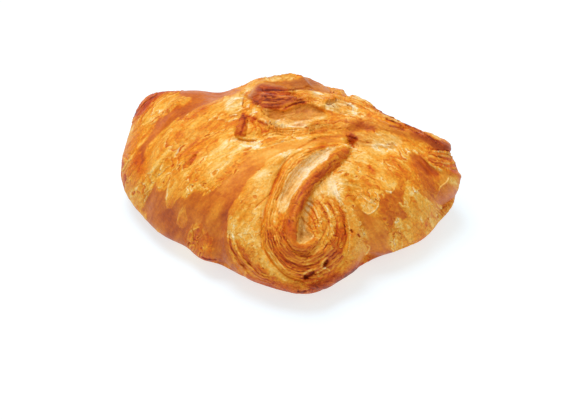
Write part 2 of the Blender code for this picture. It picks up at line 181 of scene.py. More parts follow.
# Places with an edge of their own. The tone runs from 0 for cream to 1 for burnt. smooth says how unbroken
# the crust is, raw how little of it has browned, soft how wide its edge is in millimetres, ragged how far
# the edge wanders, and rim how pale the edge is. The place rises by rise, and has its full height this far
# in: rounding.
Place = namedtuple(
    "Place",
    "outline tone smooth raw soft ragged rim rise rounding",
    defaults=(0.0, 0.0, 0.5, 1.0, 0.0, 0.0, 2.0),
)
PLACES = {
    "far left crease": Place(
        ((-15.5, 46.5), (-31, 47.5), (-39, 46.5), (-37.5, 43.5), (-35, 41.5), (-41, 39), (-47.5, 36),
         (-51, 32.5), (-54, 27.5), (-56.5, 22.5), (-55.5, 17), (-53, 20), (-51.5, 24), (-48, 28),
         (-42.5, 34), (-37.5, 37.5), (-30.5, 41.5), (-20.5, 44.5)),
        tone=0.64, smooth=0.9, soft=0.5, ragged=1.6),
    "band beside the swirl": Place(
        ((23, 29), (6, 26), (-9, 22.5), (-20.5, 14), (-30, 4), (-36, -8.5), (-31, -17.5), (-17.5, -24),
         (-21, -15.5), (-22.5, -7.5), (-19, 2.5), (-9, 16.5), (7, 23)),
        tone=0.52, smooth=1.0, soft=1.2, ragged=2.4),
    "lower left": Place(
        ((-52, 8.5), (-55, 1), (-48, -9), (-36.5, -18.5), (-22.5, -21.5), (-21, -1.5), (-23.5, 5),
         (-28, 8), (-32.5, 6), (-39, 6.5), (-45, 7.5)),
        tone=0.64, smooth=1.0, soft=0.9, ragged=2.6),
    "far left tongue": Place(
        ((-62.5, 11.5), (-60.5, 5.5), (-56, 1), (-54, 2), (-51.5, 8.5), (-50, 14), (-56, 17)),
        tone=0.45, soft=0.3, ragged=1.6, rim=0.1),
    "first tongue": Place(
        ((-43.5, 15), (-45, 9), (-46, 2), (-44, 1.5), (-42, 4), (-39, 5.5), (-37.5, 10), (-39.5, 14)),
        tone=0.42, smooth=0.5, soft=0.35, ragged=1.2, rim=0.14),
    "second tongue": Place(
        ((-38, 3), (-40.5, -1), (-41.5, -4.5), (-40.5, -7), (-38.5, -6.5), (-37.5, -1.5)),
        tone=0.5, smooth=0.8, soft=0.3, ragged=1, rim=0.1),
    "third tongue": Place(
        ((-32, -6), (-36.5, -8.5), (-37.5, -12.5), (-36, -16), (-32.5, -19), (-27.5, -20), (-28, -15.5),
         (-29, -11)),
        tone=0.6, smooth=0.2, soft=0.6, ragged=2.2, rim=0.04),
    "orange flake": Place(
        ((-31, 14), (-33.5, 10), (-32.5, 7.5), (-29, 7.5), (-25.5, 11), (-24, 16), (-28, 17.5)),
        tone=0.36, smooth=0.2, soft=0.5, ragged=1.4, rim=0.10),
    "outer ring": Place(
        ((7, 23.5), (-3.5, 21), (-13.5, 11.5), (-20.5, 1), (-22.5, -7.5), (-21, -16), (-12.5, -28.5),
         (4, -32.5), (9, -29), (-0.5, -24), (-7.5, -16.5), (-9, -7.5), (-6, 5.5), (-1, 16.5)),
        tone=0.31, smooth=0.4, soft=0.35, ragged=0.4, rise=0.8, rounding=3.0),
    "foot of the ring": Place(
        ((-21.5, -11.5), (-19, -20), (-12, -28.5), (4, -33), (10.5, -31), (2.5, -28.5), (-8, -23),
         (-15, -16), (-18, -11.5)),
        tone=0.54, smooth=0.3, soft=0.8, ragged=1),
    "ring, right": Place(
        ((9, -29), (16, -30.5), (26, -24.5), (31.5, -16), (29, -6), (24.5, 4), (19, 10), (17.5, 7),
         (23, -1.5), (25, -8.5), (24.5, -14.5), (19.5, -23.5)),
        tone=0.4, smooth=0.5, soft=0.4, ragged=0.4, rise=1.0, rounding=2.5),
    "inside of the swirl": Place(
        ((20.5, 25.5), (9, 23), (-1, 16), (-6, 5), (-9, -7.5), (-7, -16.5), (0, -24), (9, -29),
         (19.5, -23), (24.5, -14), (25, -8), (22.5, -1), (17.5, 7), (19.5, 14.5)),
        tone=0.46, soft=0.4, ragged=0.3),
    "lower rings": Place(
        ((-1.5, -4.5), (-6, -11.5), (-1, -21), (9, -27), (19.5, -21.5), (24, -14), (24, -6), (20.5, 1),
         (19, -5.5), (16, -12.5), (10.5, -16), (4, -15.5), (2, -11)),
        tone=0.66, smooth=0, soft=1.2, ragged=0.8),
    "recess": Place(
        ((19.5, 24), (14, 23), (8, 20), (2.5, 14), (-1, 7.5), (-2.5, 1), (-1, -1), (3, 4), (7, 10),
         (11, 15), (15.5, 19)),
        tone=0.13, smooth=0.2, raw=0.6, soft=0.7, ragged=0.9, rise=-0.5, rounding=1.2),
    "ridge": Place(
        ((24, 24), (19.5, 22.5), (13.5, 17.5), (8, 12.5), (3.5, 6), (1, -1), (0, -8.5), (2, -14),
         (5.5, -16), (10.5, -14.5), (14, -11), (11, -11), (7, -13), (4.5, -11), (4.5, -4.5), (6.5, 1),
         (9.5, 6.5), (14, 12), (19.5, 16), (24, 20.5)),
        tone=0.62, smooth=0.4, soft=0.35, ragged=0.6, rise=1.2, rounding=1.6),
    "fan beside the pocket": Place(
        ((9, 6), (7.5, 1.5), (7, -2.5), (9, -7), (12, -11), (16, -11.5), (19.5, -7), (20.5, -1),
         (19.5, 4), (16, 7)),
        tone=0.42, smooth=0.1, soft=1.2, ragged=1.2),
    "pocket of the swirl": Place(
        ((9.5, 5.5), (7, 1), (6, -4.5), (5.5, -12.5), (7.5, -12.5), (11, -10.5), (9, -7), (9, -1.5),
         (11, 2.5)),
        tone=0.28, smooth=0.3, raw=0.28, soft=0.4, ragged=0.3, rise=-0.5, rounding=2.0),
    "triangle in the pocket": Place(
        ((6.5, -2.5), (5, -7.5), (4.5, -12), (7, -12.5), (10.5, -11), (8, -7)),
        tone=0.4, smooth=0.3, raw=0.85, soft=0.35, ragged=0.2),
    "pale behind the pocket": Place(
        ((19, 14.5), (14, 11), (10.5, 6.5), (14, 4.5), (19, 4.5), (22, 4), (23.5, 7.5), (23.5, 12.5)),
        tone=0.2, smooth=0.3, raw=0.2, soft=1.6, ragged=1.6),
    "crumb of the crest": Place(
        ((-8, 52.5), (-9.5, 50), (-9, 48.5), (-3.5, 48.5), (2.5, 49), (4, 51), (-0.5, 52.5)),
        tone=0.42, raw=0.4, soft=0.4),
    "crest": Place(
        ((-8, 50), (-11, 49), (-13, 46), (-14, 42.5), (-11, 43), (-9, 45), (-2.5, 46), (4.5, 46),
         (13.5, 45.5), (17.5, 44.5), (16.5, 47), (12, 49.5), (7.5, 51.5), (4, 50.5), (-2, 49)),
        tone=0.56, smooth=1, raw=0.3, soft=0.35, ragged=0.9, rise=0.5, rounding=1.4),
    "mauve of the crest": Place(
        ((5, 50.5), (2, 48), (6, 46.5), (12.5, 46.5), (13.5, 48), (11, 50.5), (7.5, 51.5)),
        tone=0.68, smooth=1.0, raw=0.4, soft=1, ragged=0.8),
    "darkest of the crest": Place(
        ((-10.5, 48), (-11, 45.5), (-6.5, 44.5), (2, 45), (-1, 47), (-7, 48.5)),
        tone=0.95, smooth=0.6, soft=0.9, ragged=0.7),
    "dark layers": Place(
        ((-11, 44.5), (-12.5, 41.5), (-9.5, 39.5), (-3.5, 39), (2.5, 40), (8, 41), (6, 43), (1, 44),
         (-5, 44.5)),
        tone=0.8, smooth=0.2, raw=0.2, soft=0.9, ragged=1, rise=0.4, rounding=1.2),
    # Raw dough with painted shade: the pocket behind the seam is browned partly to paint the shade under the
    # dark layers above it
    "pocket behind the seam": Place(
        ((-7.5, 39.5), (-8, 37), (-5, 34), (1, 32), (8, 32.5), (14.5, 35), (16, 37.5), (11, 40.5),
         (5, 40.5), (-0.5, 38.5)),
        tone=0.49, smooth=0.6, raw=0.5, soft=0.4, ragged=0.9, rise=-1.2, rounding=1.8),
    "golden floor of the pocket": Place(
        ((-3.5, 34.5), (-2, 32), (6, 32), (14, 34), (16.5, 36.5), (10.5, 36), (4, 34.5)),
        tone=0.19, smooth=0.2, raw=0.25, soft=0.6),
    "right pocket": Place(
        ((16, 41), (16, 39), (21, 37), (26.5, 36), (27.5, 39), (25, 41), (20.5, 42)),
        tone=0.24, raw=0.35, soft=0.4, ragged=0.6, rise=-1.0, rounding=1.2),
    "seam ridge": Place(
        ((26, 35.5), (22.5, 33), (25, 30.5), (29.5, 31), (36.5, 30.5), (42.5, 29), (50.5, 26.5),
         (59.5, 24), (64, 22), (64.5, 24), (57.5, 27.5), (52, 29.5), (46, 31), (37.5, 33.5)),
        tone=0.54, smooth=0.5, raw=0.2, soft=0.8, ragged=0.9, rise=0.3, rounding=1.4),
    "dark end of the seam ridge": Place(
        ((51, 30), (48, 29), (52, 27), (57.5, 24), (62, 22.5), (64.5, 22), (65, 24), (58, 27.5)),
        tone=0.76, smooth=1.0, soft=0.9),
    "small tip": Place(
        ((-16.5, 37.5), (-17.5, 34), (-19.5, 29), (-17.5, 28), (-15.5, 28), (-14.5, 31.5), (-15, 35.5)),
        tone=0.7, smooth=0.3, soft=0.35, ragged=0.4, rise=0.9, rounding=1.2),
    "blob by the tip": Place(
        ((-13.5, 35), (-13, 31), (-14, 27.5), (-10.5, 27.5), (-6.5, 29), (-5.5, 32), (-6, 33.5),
         (-10.5, 35)),
        tone=0.43, soft=0.4, ragged=0.6, rim=0.1, rise=0.4, rounding=1.0),
    "flake by the tip": Place(
        ((-21, 43), (-22.5, 40), (-21, 36), (-18.5, 35), (-16.5, 38.5), (-17, 42.5), (-19, 44)),
        tone=0.22, smooth=0.1, raw=0.3, soft=1.2, ragged=2, rim=0.03, rise=0.15, rounding=1.2),
    "pale valley": Place(
        ((27.5, 29.5), (26, 25.5), (29.5, 24), (36.5, 24), (44, 24.5), (44.5, 27.5), (38, 29)),
        tone=0.33, smooth=0.5, raw=0.35, soft=0.6, ragged=1.2),
    # Painted shadow: the hole at the seam is painted dark brown where the seam shades it
    "hole at the seam": Place(
        ((23.5, 29), (24, 26.5), (26, 23.5), (26.5, 26), (28, 27.5)),
        tone=0.86, raw=0.25, soft=0.5, ragged=0.2, rise=-0.5, rounding=0.8),
    "pale top of the right lobe": Place(
        ((26.5, 23), (22.5, 17), (25, 13), (29.5, 14.5), (35, 20), (43.5, 22.5), (36.5, 24)),
        tone=0.28, smooth=0.3, soft=1.4, ragged=1.8),
    "right furrow": Place(
        ((24, 7), (26.5, 3), (28, -1), (29.5, -6), (32, -13), (33.5, -21), (42, -17.5), (41, -10),
         (39, -5.5), (36, -1.5), (32, -2), (29, 1)),
        tone=0.52, smooth=1.0, soft=0.8, ragged=1.6),
    "brown of the right lobe": Place(
        ((42, 10), (39, 6), (36, 4), (35.5, -1), (38, -6), (42, -7), (45.5, -4.5), (47.5, 1.5), (46, 7.5)),
        tone=0.62, smooth=0.6, soft=1.5, ragged=2.4),
    "tongue of the right lobe": Place(
        ((25, 17), (24.5, 11.5), (26.5, 6), (29, 1), (32, -1.5), (35.5, 1), (36, 4.5), (34.5, 9),
         (32, 14.5), (29, 18)),
        tone=0.37, soft=0.4, ragged=0.9, rim=0.14),
    "second tongue of the right lobe": Place(
        ((33.5, 20), (34, 14.5), (36.5, 10), (39.5, 6.5), (42.5, 9), (42.5, 13), (40.5, 18.5), (36.5, 21)),
        tone=0.36, smooth=0.2, soft=0.45, ragged=1.1, rim=0.12),
    "orange flank": Place(
        ((49, 22.5), (50, 16), (50.5, 10), (54, 3), (58, 5), (59.5, 8.5), (60, 13.5), (56, 17.5),
         (52.5, 21.5)),
        tone=0.58, smooth=0.6, soft=1.4, ragged=2.2),
    # Painted shadow: the crust below the lip on the right is painted dark brown
    "shadow under the lip": Place(
        ((50, 22), (51.5, 17), (54.5, 13), (59, 13.5), (56, 17.5), (52.5, 21)),
        tone=0.76, smooth=0.7, soft=1.1),
    "raw end": Place(
        ((53.5, 24), (56, 19), (60.5, 15.5), (65.5, 13.5), (66, 19), (64.5, 22), (59, 23)),
        tone=0.58, soft=0.8, ragged=0.8),
    "golden flank": Place(
        ((60, 14.5), (59.5, 9), (62.5, 9.5), (63.5, 13.5)),
        tone=0.46, smooth=0.7, soft=0.3, ragged=1, rim=0.08),
    "striped flank": Place(
        ((60, 9), (57.5, 3), (62.5, 2.5), (66, 7.5), (64, 10)),
        tone=0.52, smooth=0.8, soft=0.4, ragged=1, rim=0.08),
    "first flaky blob": Place(
        ((46, 8), (45, 2.5), (48, -3), (53.5, -4), (56.5, 0.5), (53.5, 4.5), (49.5, 8.5)),
        tone=0.31, soft=0.4, ragged=1.3, rim=0.14),
    "second flaky blob": Place(
        ((42.5, -4.5), (40.5, -10), (41, -15), (46.5, -15.5), (52.5, -11.5), (53.5, -7), (48, -3.5)),
        tone=0.38, soft=0.4, ragged=1.3, rim=0.14),
}

# Thin lines drawn on the crust: path, how far the line stands up, how much browner it is, width
# The browning of every sunk line is painted shade in its groove, crease, crack, hole or slit
LINES = {
    "first dark strand of the rim": (((31, 41), (40.5, 36), (49.5, 31.5), (61, 25)), -0.4, 0.28, 0.35),
    "second dark strand of the rim": (((38, 35.5), (45, 32.5), (52.5, 29)), -0.4, 0.26, 0.35),
    "first pale strand of the rim": (((29.5, 40), (39, 35.5), (47.5, 32)), 0.3, -0.22, 0.30),
    "second pale strand of the rim": (((22.5, 44), (30.5, 42), (37.5, 38.5)), 0.3, -0.20, 0.30),
    "lip on the right": (((52, 21.5), (56, 17.5), (61, 15)), 0.7, -0.30, 0.32),
    "raw end, upper": (((56.5, 22.5), (61, 22.5), (64.5, 21)), 0.5, -0.40, 0.30),
    "raw end, gap": (((56, 23.5), (59.5, 23), (63.5, 22.5)), -0.5, 0.30, 0.30),
    "raw end, middle": (((57.5, 21), (61.5, 21), (64.5, 20)), 0.5, -0.36, 0.28),
    "raw end, lower": (((58, 19), (62, 18), (65.5, 18)), 0.5, -0.30, 0.30),
    "raw end, lowest": (((59.5, 17.5), (62.5, 16), (66, 16)), 0.5, -0.26, 0.30),
    "edge of the golden flank": (((63, 13), (62.5, 11), (60, 9), (59, 7)), 0.4, -0.30, 0.25),
    "long hole": (((7, -26.5), (9, -25.5), (11.5, -23.5)), -1.6, 0.60, 0.60),
    "rim over the long hole": (((6, -26), (8, -24), (11, -22.5)), 0.4, -0.30, 0.28),
    "short hole": (((14.5, -22), (15.5, -21), (16.5, -19)), -1.4, 0.50, 0.50),
    "rim of the short hole": (((13.5, -22.5), (14.5, -20), (16.5, -18)), 0.4, -0.36, 0.28),
    "web of the holes": (((14, -22.5), (16, -22.5), (17.5, -23.5)), 0.4, -0.40, 0.28),
    "web beside the beige hole": (((12.5, -23.5), (13, -25.5), (15, -25)), 0.3, -0.30, 0.25),
    "pale line over the holes": (
        ((-5, -19), (-2, -21.5), (2.5, -24), (7, -24), (11.5, -22.5), (15, -19)), 0.2, -0.16, 0.28),
    "wedge of the ring": (((31, -13), (32.5, -14.5), (31, -17.5)), 0.4, -0.36, 0.30),
    "string in the right pocket": (((23.5, 41), (26, 40), (26, 37.5)), 0.9, -0.30, 0.32),
    "low rim of the right pocket": (((17.5, 38), (21, 37), (25, 36)), 0.5, -0.26, 0.28),
    "golden rim": (((9, 41.5), (14.5, 39), (19, 37.5), (25, 36), (30.5, 35)), 0.9, 0.04, 0.55),
    "light on the golden rim": (((11, 41), (16, 39), (21, 37.5)), 0.2, -0.20, 0.22),
    "wall of the pocket": (((-8.5, 39), (-7.5, 36), (-6, 33.5), (-3.5, 32)), 0.8, -0.10, 0.40),
    "lip of the small tip": (((-19, 28.5), (-15, 27.5), (-10.5, 27.5), (-6, 29)), 0.6, -0.10, 0.40),
    "shadow of the small tip": (((-19, 27.5), (-14.5, 26.5), (-10.5, 26.5)), -0.5, 0.22, 0.35),
    "edge of the blob": (((-12, 34), (-9, 35), (-5.5, 32.5)), 0.4, -0.24, 0.25),
    "dark top of the blob": (((-15.5, 36.5), (-12.5, 35.5), (-9.5, 34), (-6, 32.5)), 0.5, 0.30, 0.55),
    "first fold of the blob": (((-13, 34), (-11.5, 32), (-11, 30)), -0.3, 0.22, 0.30),
    "second fold of the blob": (((-11, 33), (-9, 31), (-9, 29)), -0.3, 0.18, 0.30),
    "crumb, left": (((-8, 51.5), (-6.5, 50), (-4, 50.5)), 0.5, -0.22, 0.32),
    "crumb, middle": (((-4.5, 51), (-2.5, 50.5), (-0.5, 51)), 0.5, -0.20, 0.32),
    "first hole in the crumb": (((-7, 51), (-5.5, 49.5)), -0.5, 0.26, 0.35),
    "second hole in the crumb": (((-2.5, 51.5), (-0.5, 50.5)), -0.5, 0.22, 0.35),
    "edge of the crumb": (((-9, 49.5), (-4, 49), (1, 49.5)), -0.3, 0.16, 0.35),
    "first curl": (((-13.5, 47), (-16, 44), (-17, 40)), 0.5, -0.22, 0.35),
    "second curl": (((-12, 42.5), (-14, 40), (-14.5, 37.5)), 0.4, -0.20, 0.30),
    "third curl": (((-10.5, 41), (-12, 38), (-12, 35.5)), 0.4, -0.16, 0.30),
    "brown by the curls": (((-14.5, 45.5), (-16, 42), (-16, 38.5)), -0.3, 0.22, 0.40),
    "pale line over the band": (((-18, 25), (-9, 24), (0.5, 26.5), (10.5, 28)), 0.3, -0.20, 0.35),
    "edge of the first tongue": (((-43.5, 14.5), (-45, 9), (-46, 2.5)), 0.3, -0.26, 0.22),
    "edge of the second tongue": (((-38.5, 2.5), (-41, -2), (-41, -5)), 0.2, -0.22, 0.20),
    "edge of the third tongue": (((-32, -6), (-36.5, -8.5), (-37.5, -12)), 0.2, -0.22, 0.22),
    "end of the lobe's tongue": (((29, 0.5), (32, -1.5), (35.5, 1), (36, 4.5)), 0.3, -0.24, 0.22),
    "end of the second tongue": (((38, 7.5), (41, 7), (42.5, 9)), 0.3, -0.24, 0.22),
    "line under the crest": (((-7.5, 45.5), (0.5, 45.5), (8, 46), (16, 44)), 0.3, -0.34, 0.28),
    "groove over it": (((-9, 46), (-2.5, 46), (4, 46.5), (12, 46)), -0.4, 0.20, 0.40),
    "groove in the stack": (((-9, 43), (-2, 42.5), (4, 42.5), (10.5, 43.5)), -0.3, 0.20, 0.30),
    "low edge of the stack": (((-11, 40), (-6.5, 39), (-1, 39), (4.5, 41), (9, 41.5)), -0.2, 0.16, 0.40),
    "line beside the recess": (
        ((19, 24), (11, 22), (5, 17.5), (1, 12.5), (-1, 7), (-2.5, 2)), 0.3, -0.12, 0.28),
    "upper crease": (((22, 28.5), (13.5, 27.5), (6.5, 24.5), (2, 21.5)), -0.4, 0.18, 0.35),
    "crease": (
        ((21, 26), (15.5, 24.5), (9, 23.5), (4, 21.5), (0, 18), (-3, 12.5), (-5.5, 6.5), (-8, -2),
         (-9, -11), (-7.5, -16), (-4, -21), (1, -25.5), (9, -28.5)), -0.2, 0.18, 0.30),
    "branch of the crease": (((-5, 7), (-7.5, 4.5), (-12, 0.5)), -0.3, 0.16, 0.25),
    "first stripe of the ring": (((-21.5, -8), (-21, -13.5), (-18, -19), (-13.5, -24)), -0.4, 0.30, 0.35),
    "second stripe of the ring": (((-19, -11), (-17.5, -16), (-13.5, -21), (-9, -25.5)), -0.3, 0.16, 0.30),
    "pale stripe of the ring": (((-20.5, -8.5), (-19, -14), (-16, -19), (-11, -24)), 0.3, -0.22, 0.30),
    "dark line of the ridge": (((12.5, 14.5), (7.5, 9), (4, 2.5), (2, -3), (2.5, -9)), -0.4, 0.20, 0.30),
    "slit": (((-34, 21), (-37, 17.5)), -0.5, 0.34, 0.32),
    "bottom slit": (((4.5, -31), (6.5, -31.5), (8.5, -31)), -0.6, 0.55, 0.40),
    "left foot slot": (((-32.5, -18), (-29.5, -19), (-26, -19)), -0.6, 0.40, 0.35),
    "right foot slot": (((44, -16), (46.5, -15), (49.5, -13.5)), -1.0, 0.60, 0.45),
    "pale foot": (((43.5, -17), (46.5, -16), (49.5, -14.5)), 0.6, -0.20, 0.35),
    "fan line 1": (((8, 4), (10.5, 2.5), (12.5, 0)), -0.3, 0.26, 0.30),
    "fan line 2": (((7.5, 2.5), (10, 0.5), (12, -2.5), (13, -6)), -0.3, 0.28, 0.30),
    "fan line 3": (((7, 1), (9, -1.5), (11, -4.5), (12.5, -8.5)), -0.3, 0.26, 0.30),
    "fan line 4": (((12.5, 4), (15, 0), (16.5, -3.5), (17, -7.5), (16, -12)), -0.3, 0.28, 0.30),
    "fan line 5": (((15.5, 4), (18, 1), (19.5, -3.5), (20, -7.5), (19, -12.5)), -0.3, 0.26, 0.30),
    "fan line 6": (((19.5, 2.5), (22.5, -1.5), (23, -6), (23, -10.5)), -0.3, 0.24, 0.30),
    "fan line 7": (((6, -2), (8, -5), (11, -8)), -0.3, 0.26, 0.30),
    "fan line 8": (((13.5, 2), (15.5, -2.5), (16, -6.5), (14, -11)), -0.3, 0.22, 0.28),
    "light beside fan line 2": (((8, 3), (11, 1), (12.5, -2.5), (14, -5.5)), 0.2, -0.14, 0.30),
    "light beside fan line 4": (((13, 4), (16, 0.5), (17.5, -3.5), (17.5, -7.5)), 0.2, -0.14, 0.30),
    "light beside fan line 5": (((16, 4), (19, 1), (20.5, -3.5), (21, -7.5)), 0.2, -0.12, 0.30),
    "first small hole": (((25, -7.5), (26, -9)), -0.8, 0.45, 0.40),
    "second small hole": (((28, -9), (29, -10.5)), -0.8, 0.45, 0.40),
    "dark line in the strings": (((38, 35), (42.5, 33.5), (48.5, 32.5)), -0.2, 0.28, 0.40),
    "second dark line": (((39.5, 32.5), (43.5, 31.5), (46.5, 30.5)), -0.2, 0.30, 0.32),
    "outer dark line": (((35, 38.5), (42, 35.5), (52, 30.5), (57.5, 27.5)), -0.2, 0.22, 0.35),
    "shadow of the seam": (((26.5, 27), (30.5, 26), (34, 26)), -0.2, 0.20, 0.50),
    "mauve streak": (((32, 17.5), (34, 14.5), (35, 12.5)), 0.0, 0.22, 0.80),
    "light under the seam shadow": (((29.5, 25), (36, 25), (43.5, 25)), 0.2, -0.16, 0.35),
}

# Fine cracks in the lower rings, all alike, browned as painted shade in the cracks
FISSURE = (-0.4, 0.20, 0.28)
FISSURE_PATHS = (
    ((0, -13.5), (2, -16.5), (4.5, -18)),
    ((-2.5, -15.5), (0, -19), (3, -21)),
    ((5.5, -17.5), (8, -18), (10.5, -17.5)),
    ((2, -20), (6.5, -22), (12, -20.5)),
    ((12.5, -17.5), (14.5, -16), (16.5, -13)),
    ((-5, -14), (-3, -18.5), (0.5, -22)),
    ((19, -6), (20.5, -10), (20, -14.5)),
    ((22, -4.5), (23.5, -10), (22.5, -15.5)),
)
for number, path in enumerate(FISSURE_PATHS, 1):
    LINES[f"fissure {number}"] = (path, *FISSURE)

# Layers of dough seen edge on: first border, last border to the left of it, number of layers, depth of the
# gaps between them, and how much browner the gaps are
# The browner gaps are painted shade, and the paler edge between them a painted highlight
LAYERS = {
    "inner band of the swirl": (
        ((1, -18.5), (-2.5, -14), (-3.5, -8.5), (-3, -3), (-2, 2.5), (-0.5, 7.5), (2, 12.5), (5.5, 17),
         (11, 20.5), (18, 23.5)),
        ((-3.5, -19), (-7, -14), (-8, -7.5), (-7.5, -1), (-5.5, 6), (-3, 11.5), (0.5, 17.5), (5, 21.5),
         (12, 24), (20.5, 26)),
        4, 0.35, 0.20),
    "lower rings": (
        ((14, -9), (11, -12.5), (9, -14), (6, -14.5), (3.5, -13.5), (1.5, -11.5), (0.5, -9), (-0.5, -6),
         (-0.5, -2.5)),
        ((25.5, -10), (23.5, -17), (19, -22.5), (12.5, -26), (6, -26.5), (-1.5, -23), (-6.5, -17),
         (-8.5, -10), (-7.5, -4)),
        9, 0.20, 0.30),
    "fan beside the pocket": (
        ((5, -1.5), (7, -3.5), (8.5, -6.5), (11, -11)),
        ((7.5, 4), (10.5, 6.5), (15.5, 7.5), (21, 4.5), (24.5, -1), (25, -8.5), (22.5, -15.5)),
        6, 0.15, 0.20),
    "recess": (
        ((0, 1), (2, 6), (5, 10), (9, 14), (13.5, 18), (20, 22)),
        ((-2.5, 1), (-1, 8), (2.5, 14), (7.5, 19), (13.5, 22.5), (20, 24.5)),
        4, 0.2, 0.13),
    "ridge of the swirl": (
        ((6, -11.5), (5.5, -4.5), (7.5, 1), (10.5, 6), (15, 11), (20.5, 16), (25.5, 21)),
        ((1, -11.5), (0, -4.5), (1, 1), (3.5, 6.5), (7.5, 12.5), (13, 18), (21, 23.5)),
        4, 0.25, 0.14),
    "stack under the crest": (
        ((-10.5, 39), (-2, 39), (4.5, 41), (11, 41), (17.5, 39.5)),
        ((-12, 45.5), (-5, 45.5), (2.5, 45.5), (9.5, 45), (16.5, 43)),
        4, 0.35, 0.22),
    "strings of the right rim": (
        ((14, 42.5), (22, 41), (29, 39), (36, 36), (45, 32), (54, 27.5), (62.5, 23)),
        ((12.5, 48.5), (21, 46), (28, 44), (35, 39.5), (44, 35.5), (54, 30), (63, 24)),
        5, 0.5, 0.22),
    "strands of the seam": (
        ((-11, 28), (-0.5, 28), (10.5, 29), (20.5, 30), (26.5, 31)),
        ((-7.5, 33.5), (2, 32.5), (10.5, 34), (19, 36), (26.5, 35)),
        5, 0.4, 0.16),
    "left wall of the pocket": (
        ((-11, 38.5), (-10.5, 34), (-6.5, 30)),
        ((-6.5, 39), (-7, 36), (-2, 32)),
        4, 0.4, 0.16),
    "raw layers of the right end": (
        ((53.5, 19), (59, 16.5), (65, 15)),
        ((55, 23.5), (60, 22.5), (65, 20.5)),
        5, 0.4, 0.30),
    "foot of the outer ring": (
        ((-22.5, -6), (-22, -14), (-18, -20.5), (-12, -26), (-4, -29)),
        ((-19.5, -4.5), (-19, -11.5), (-15, -18), (-9.5, -23), (-2.5, -27.5)),
        3, 0.35, 0.18),
}

# The crust between the places: its tone, and how smooth it is
PLAIN_BROWN = 0.42
PLAIN_SMOOTHNESS = 0.05

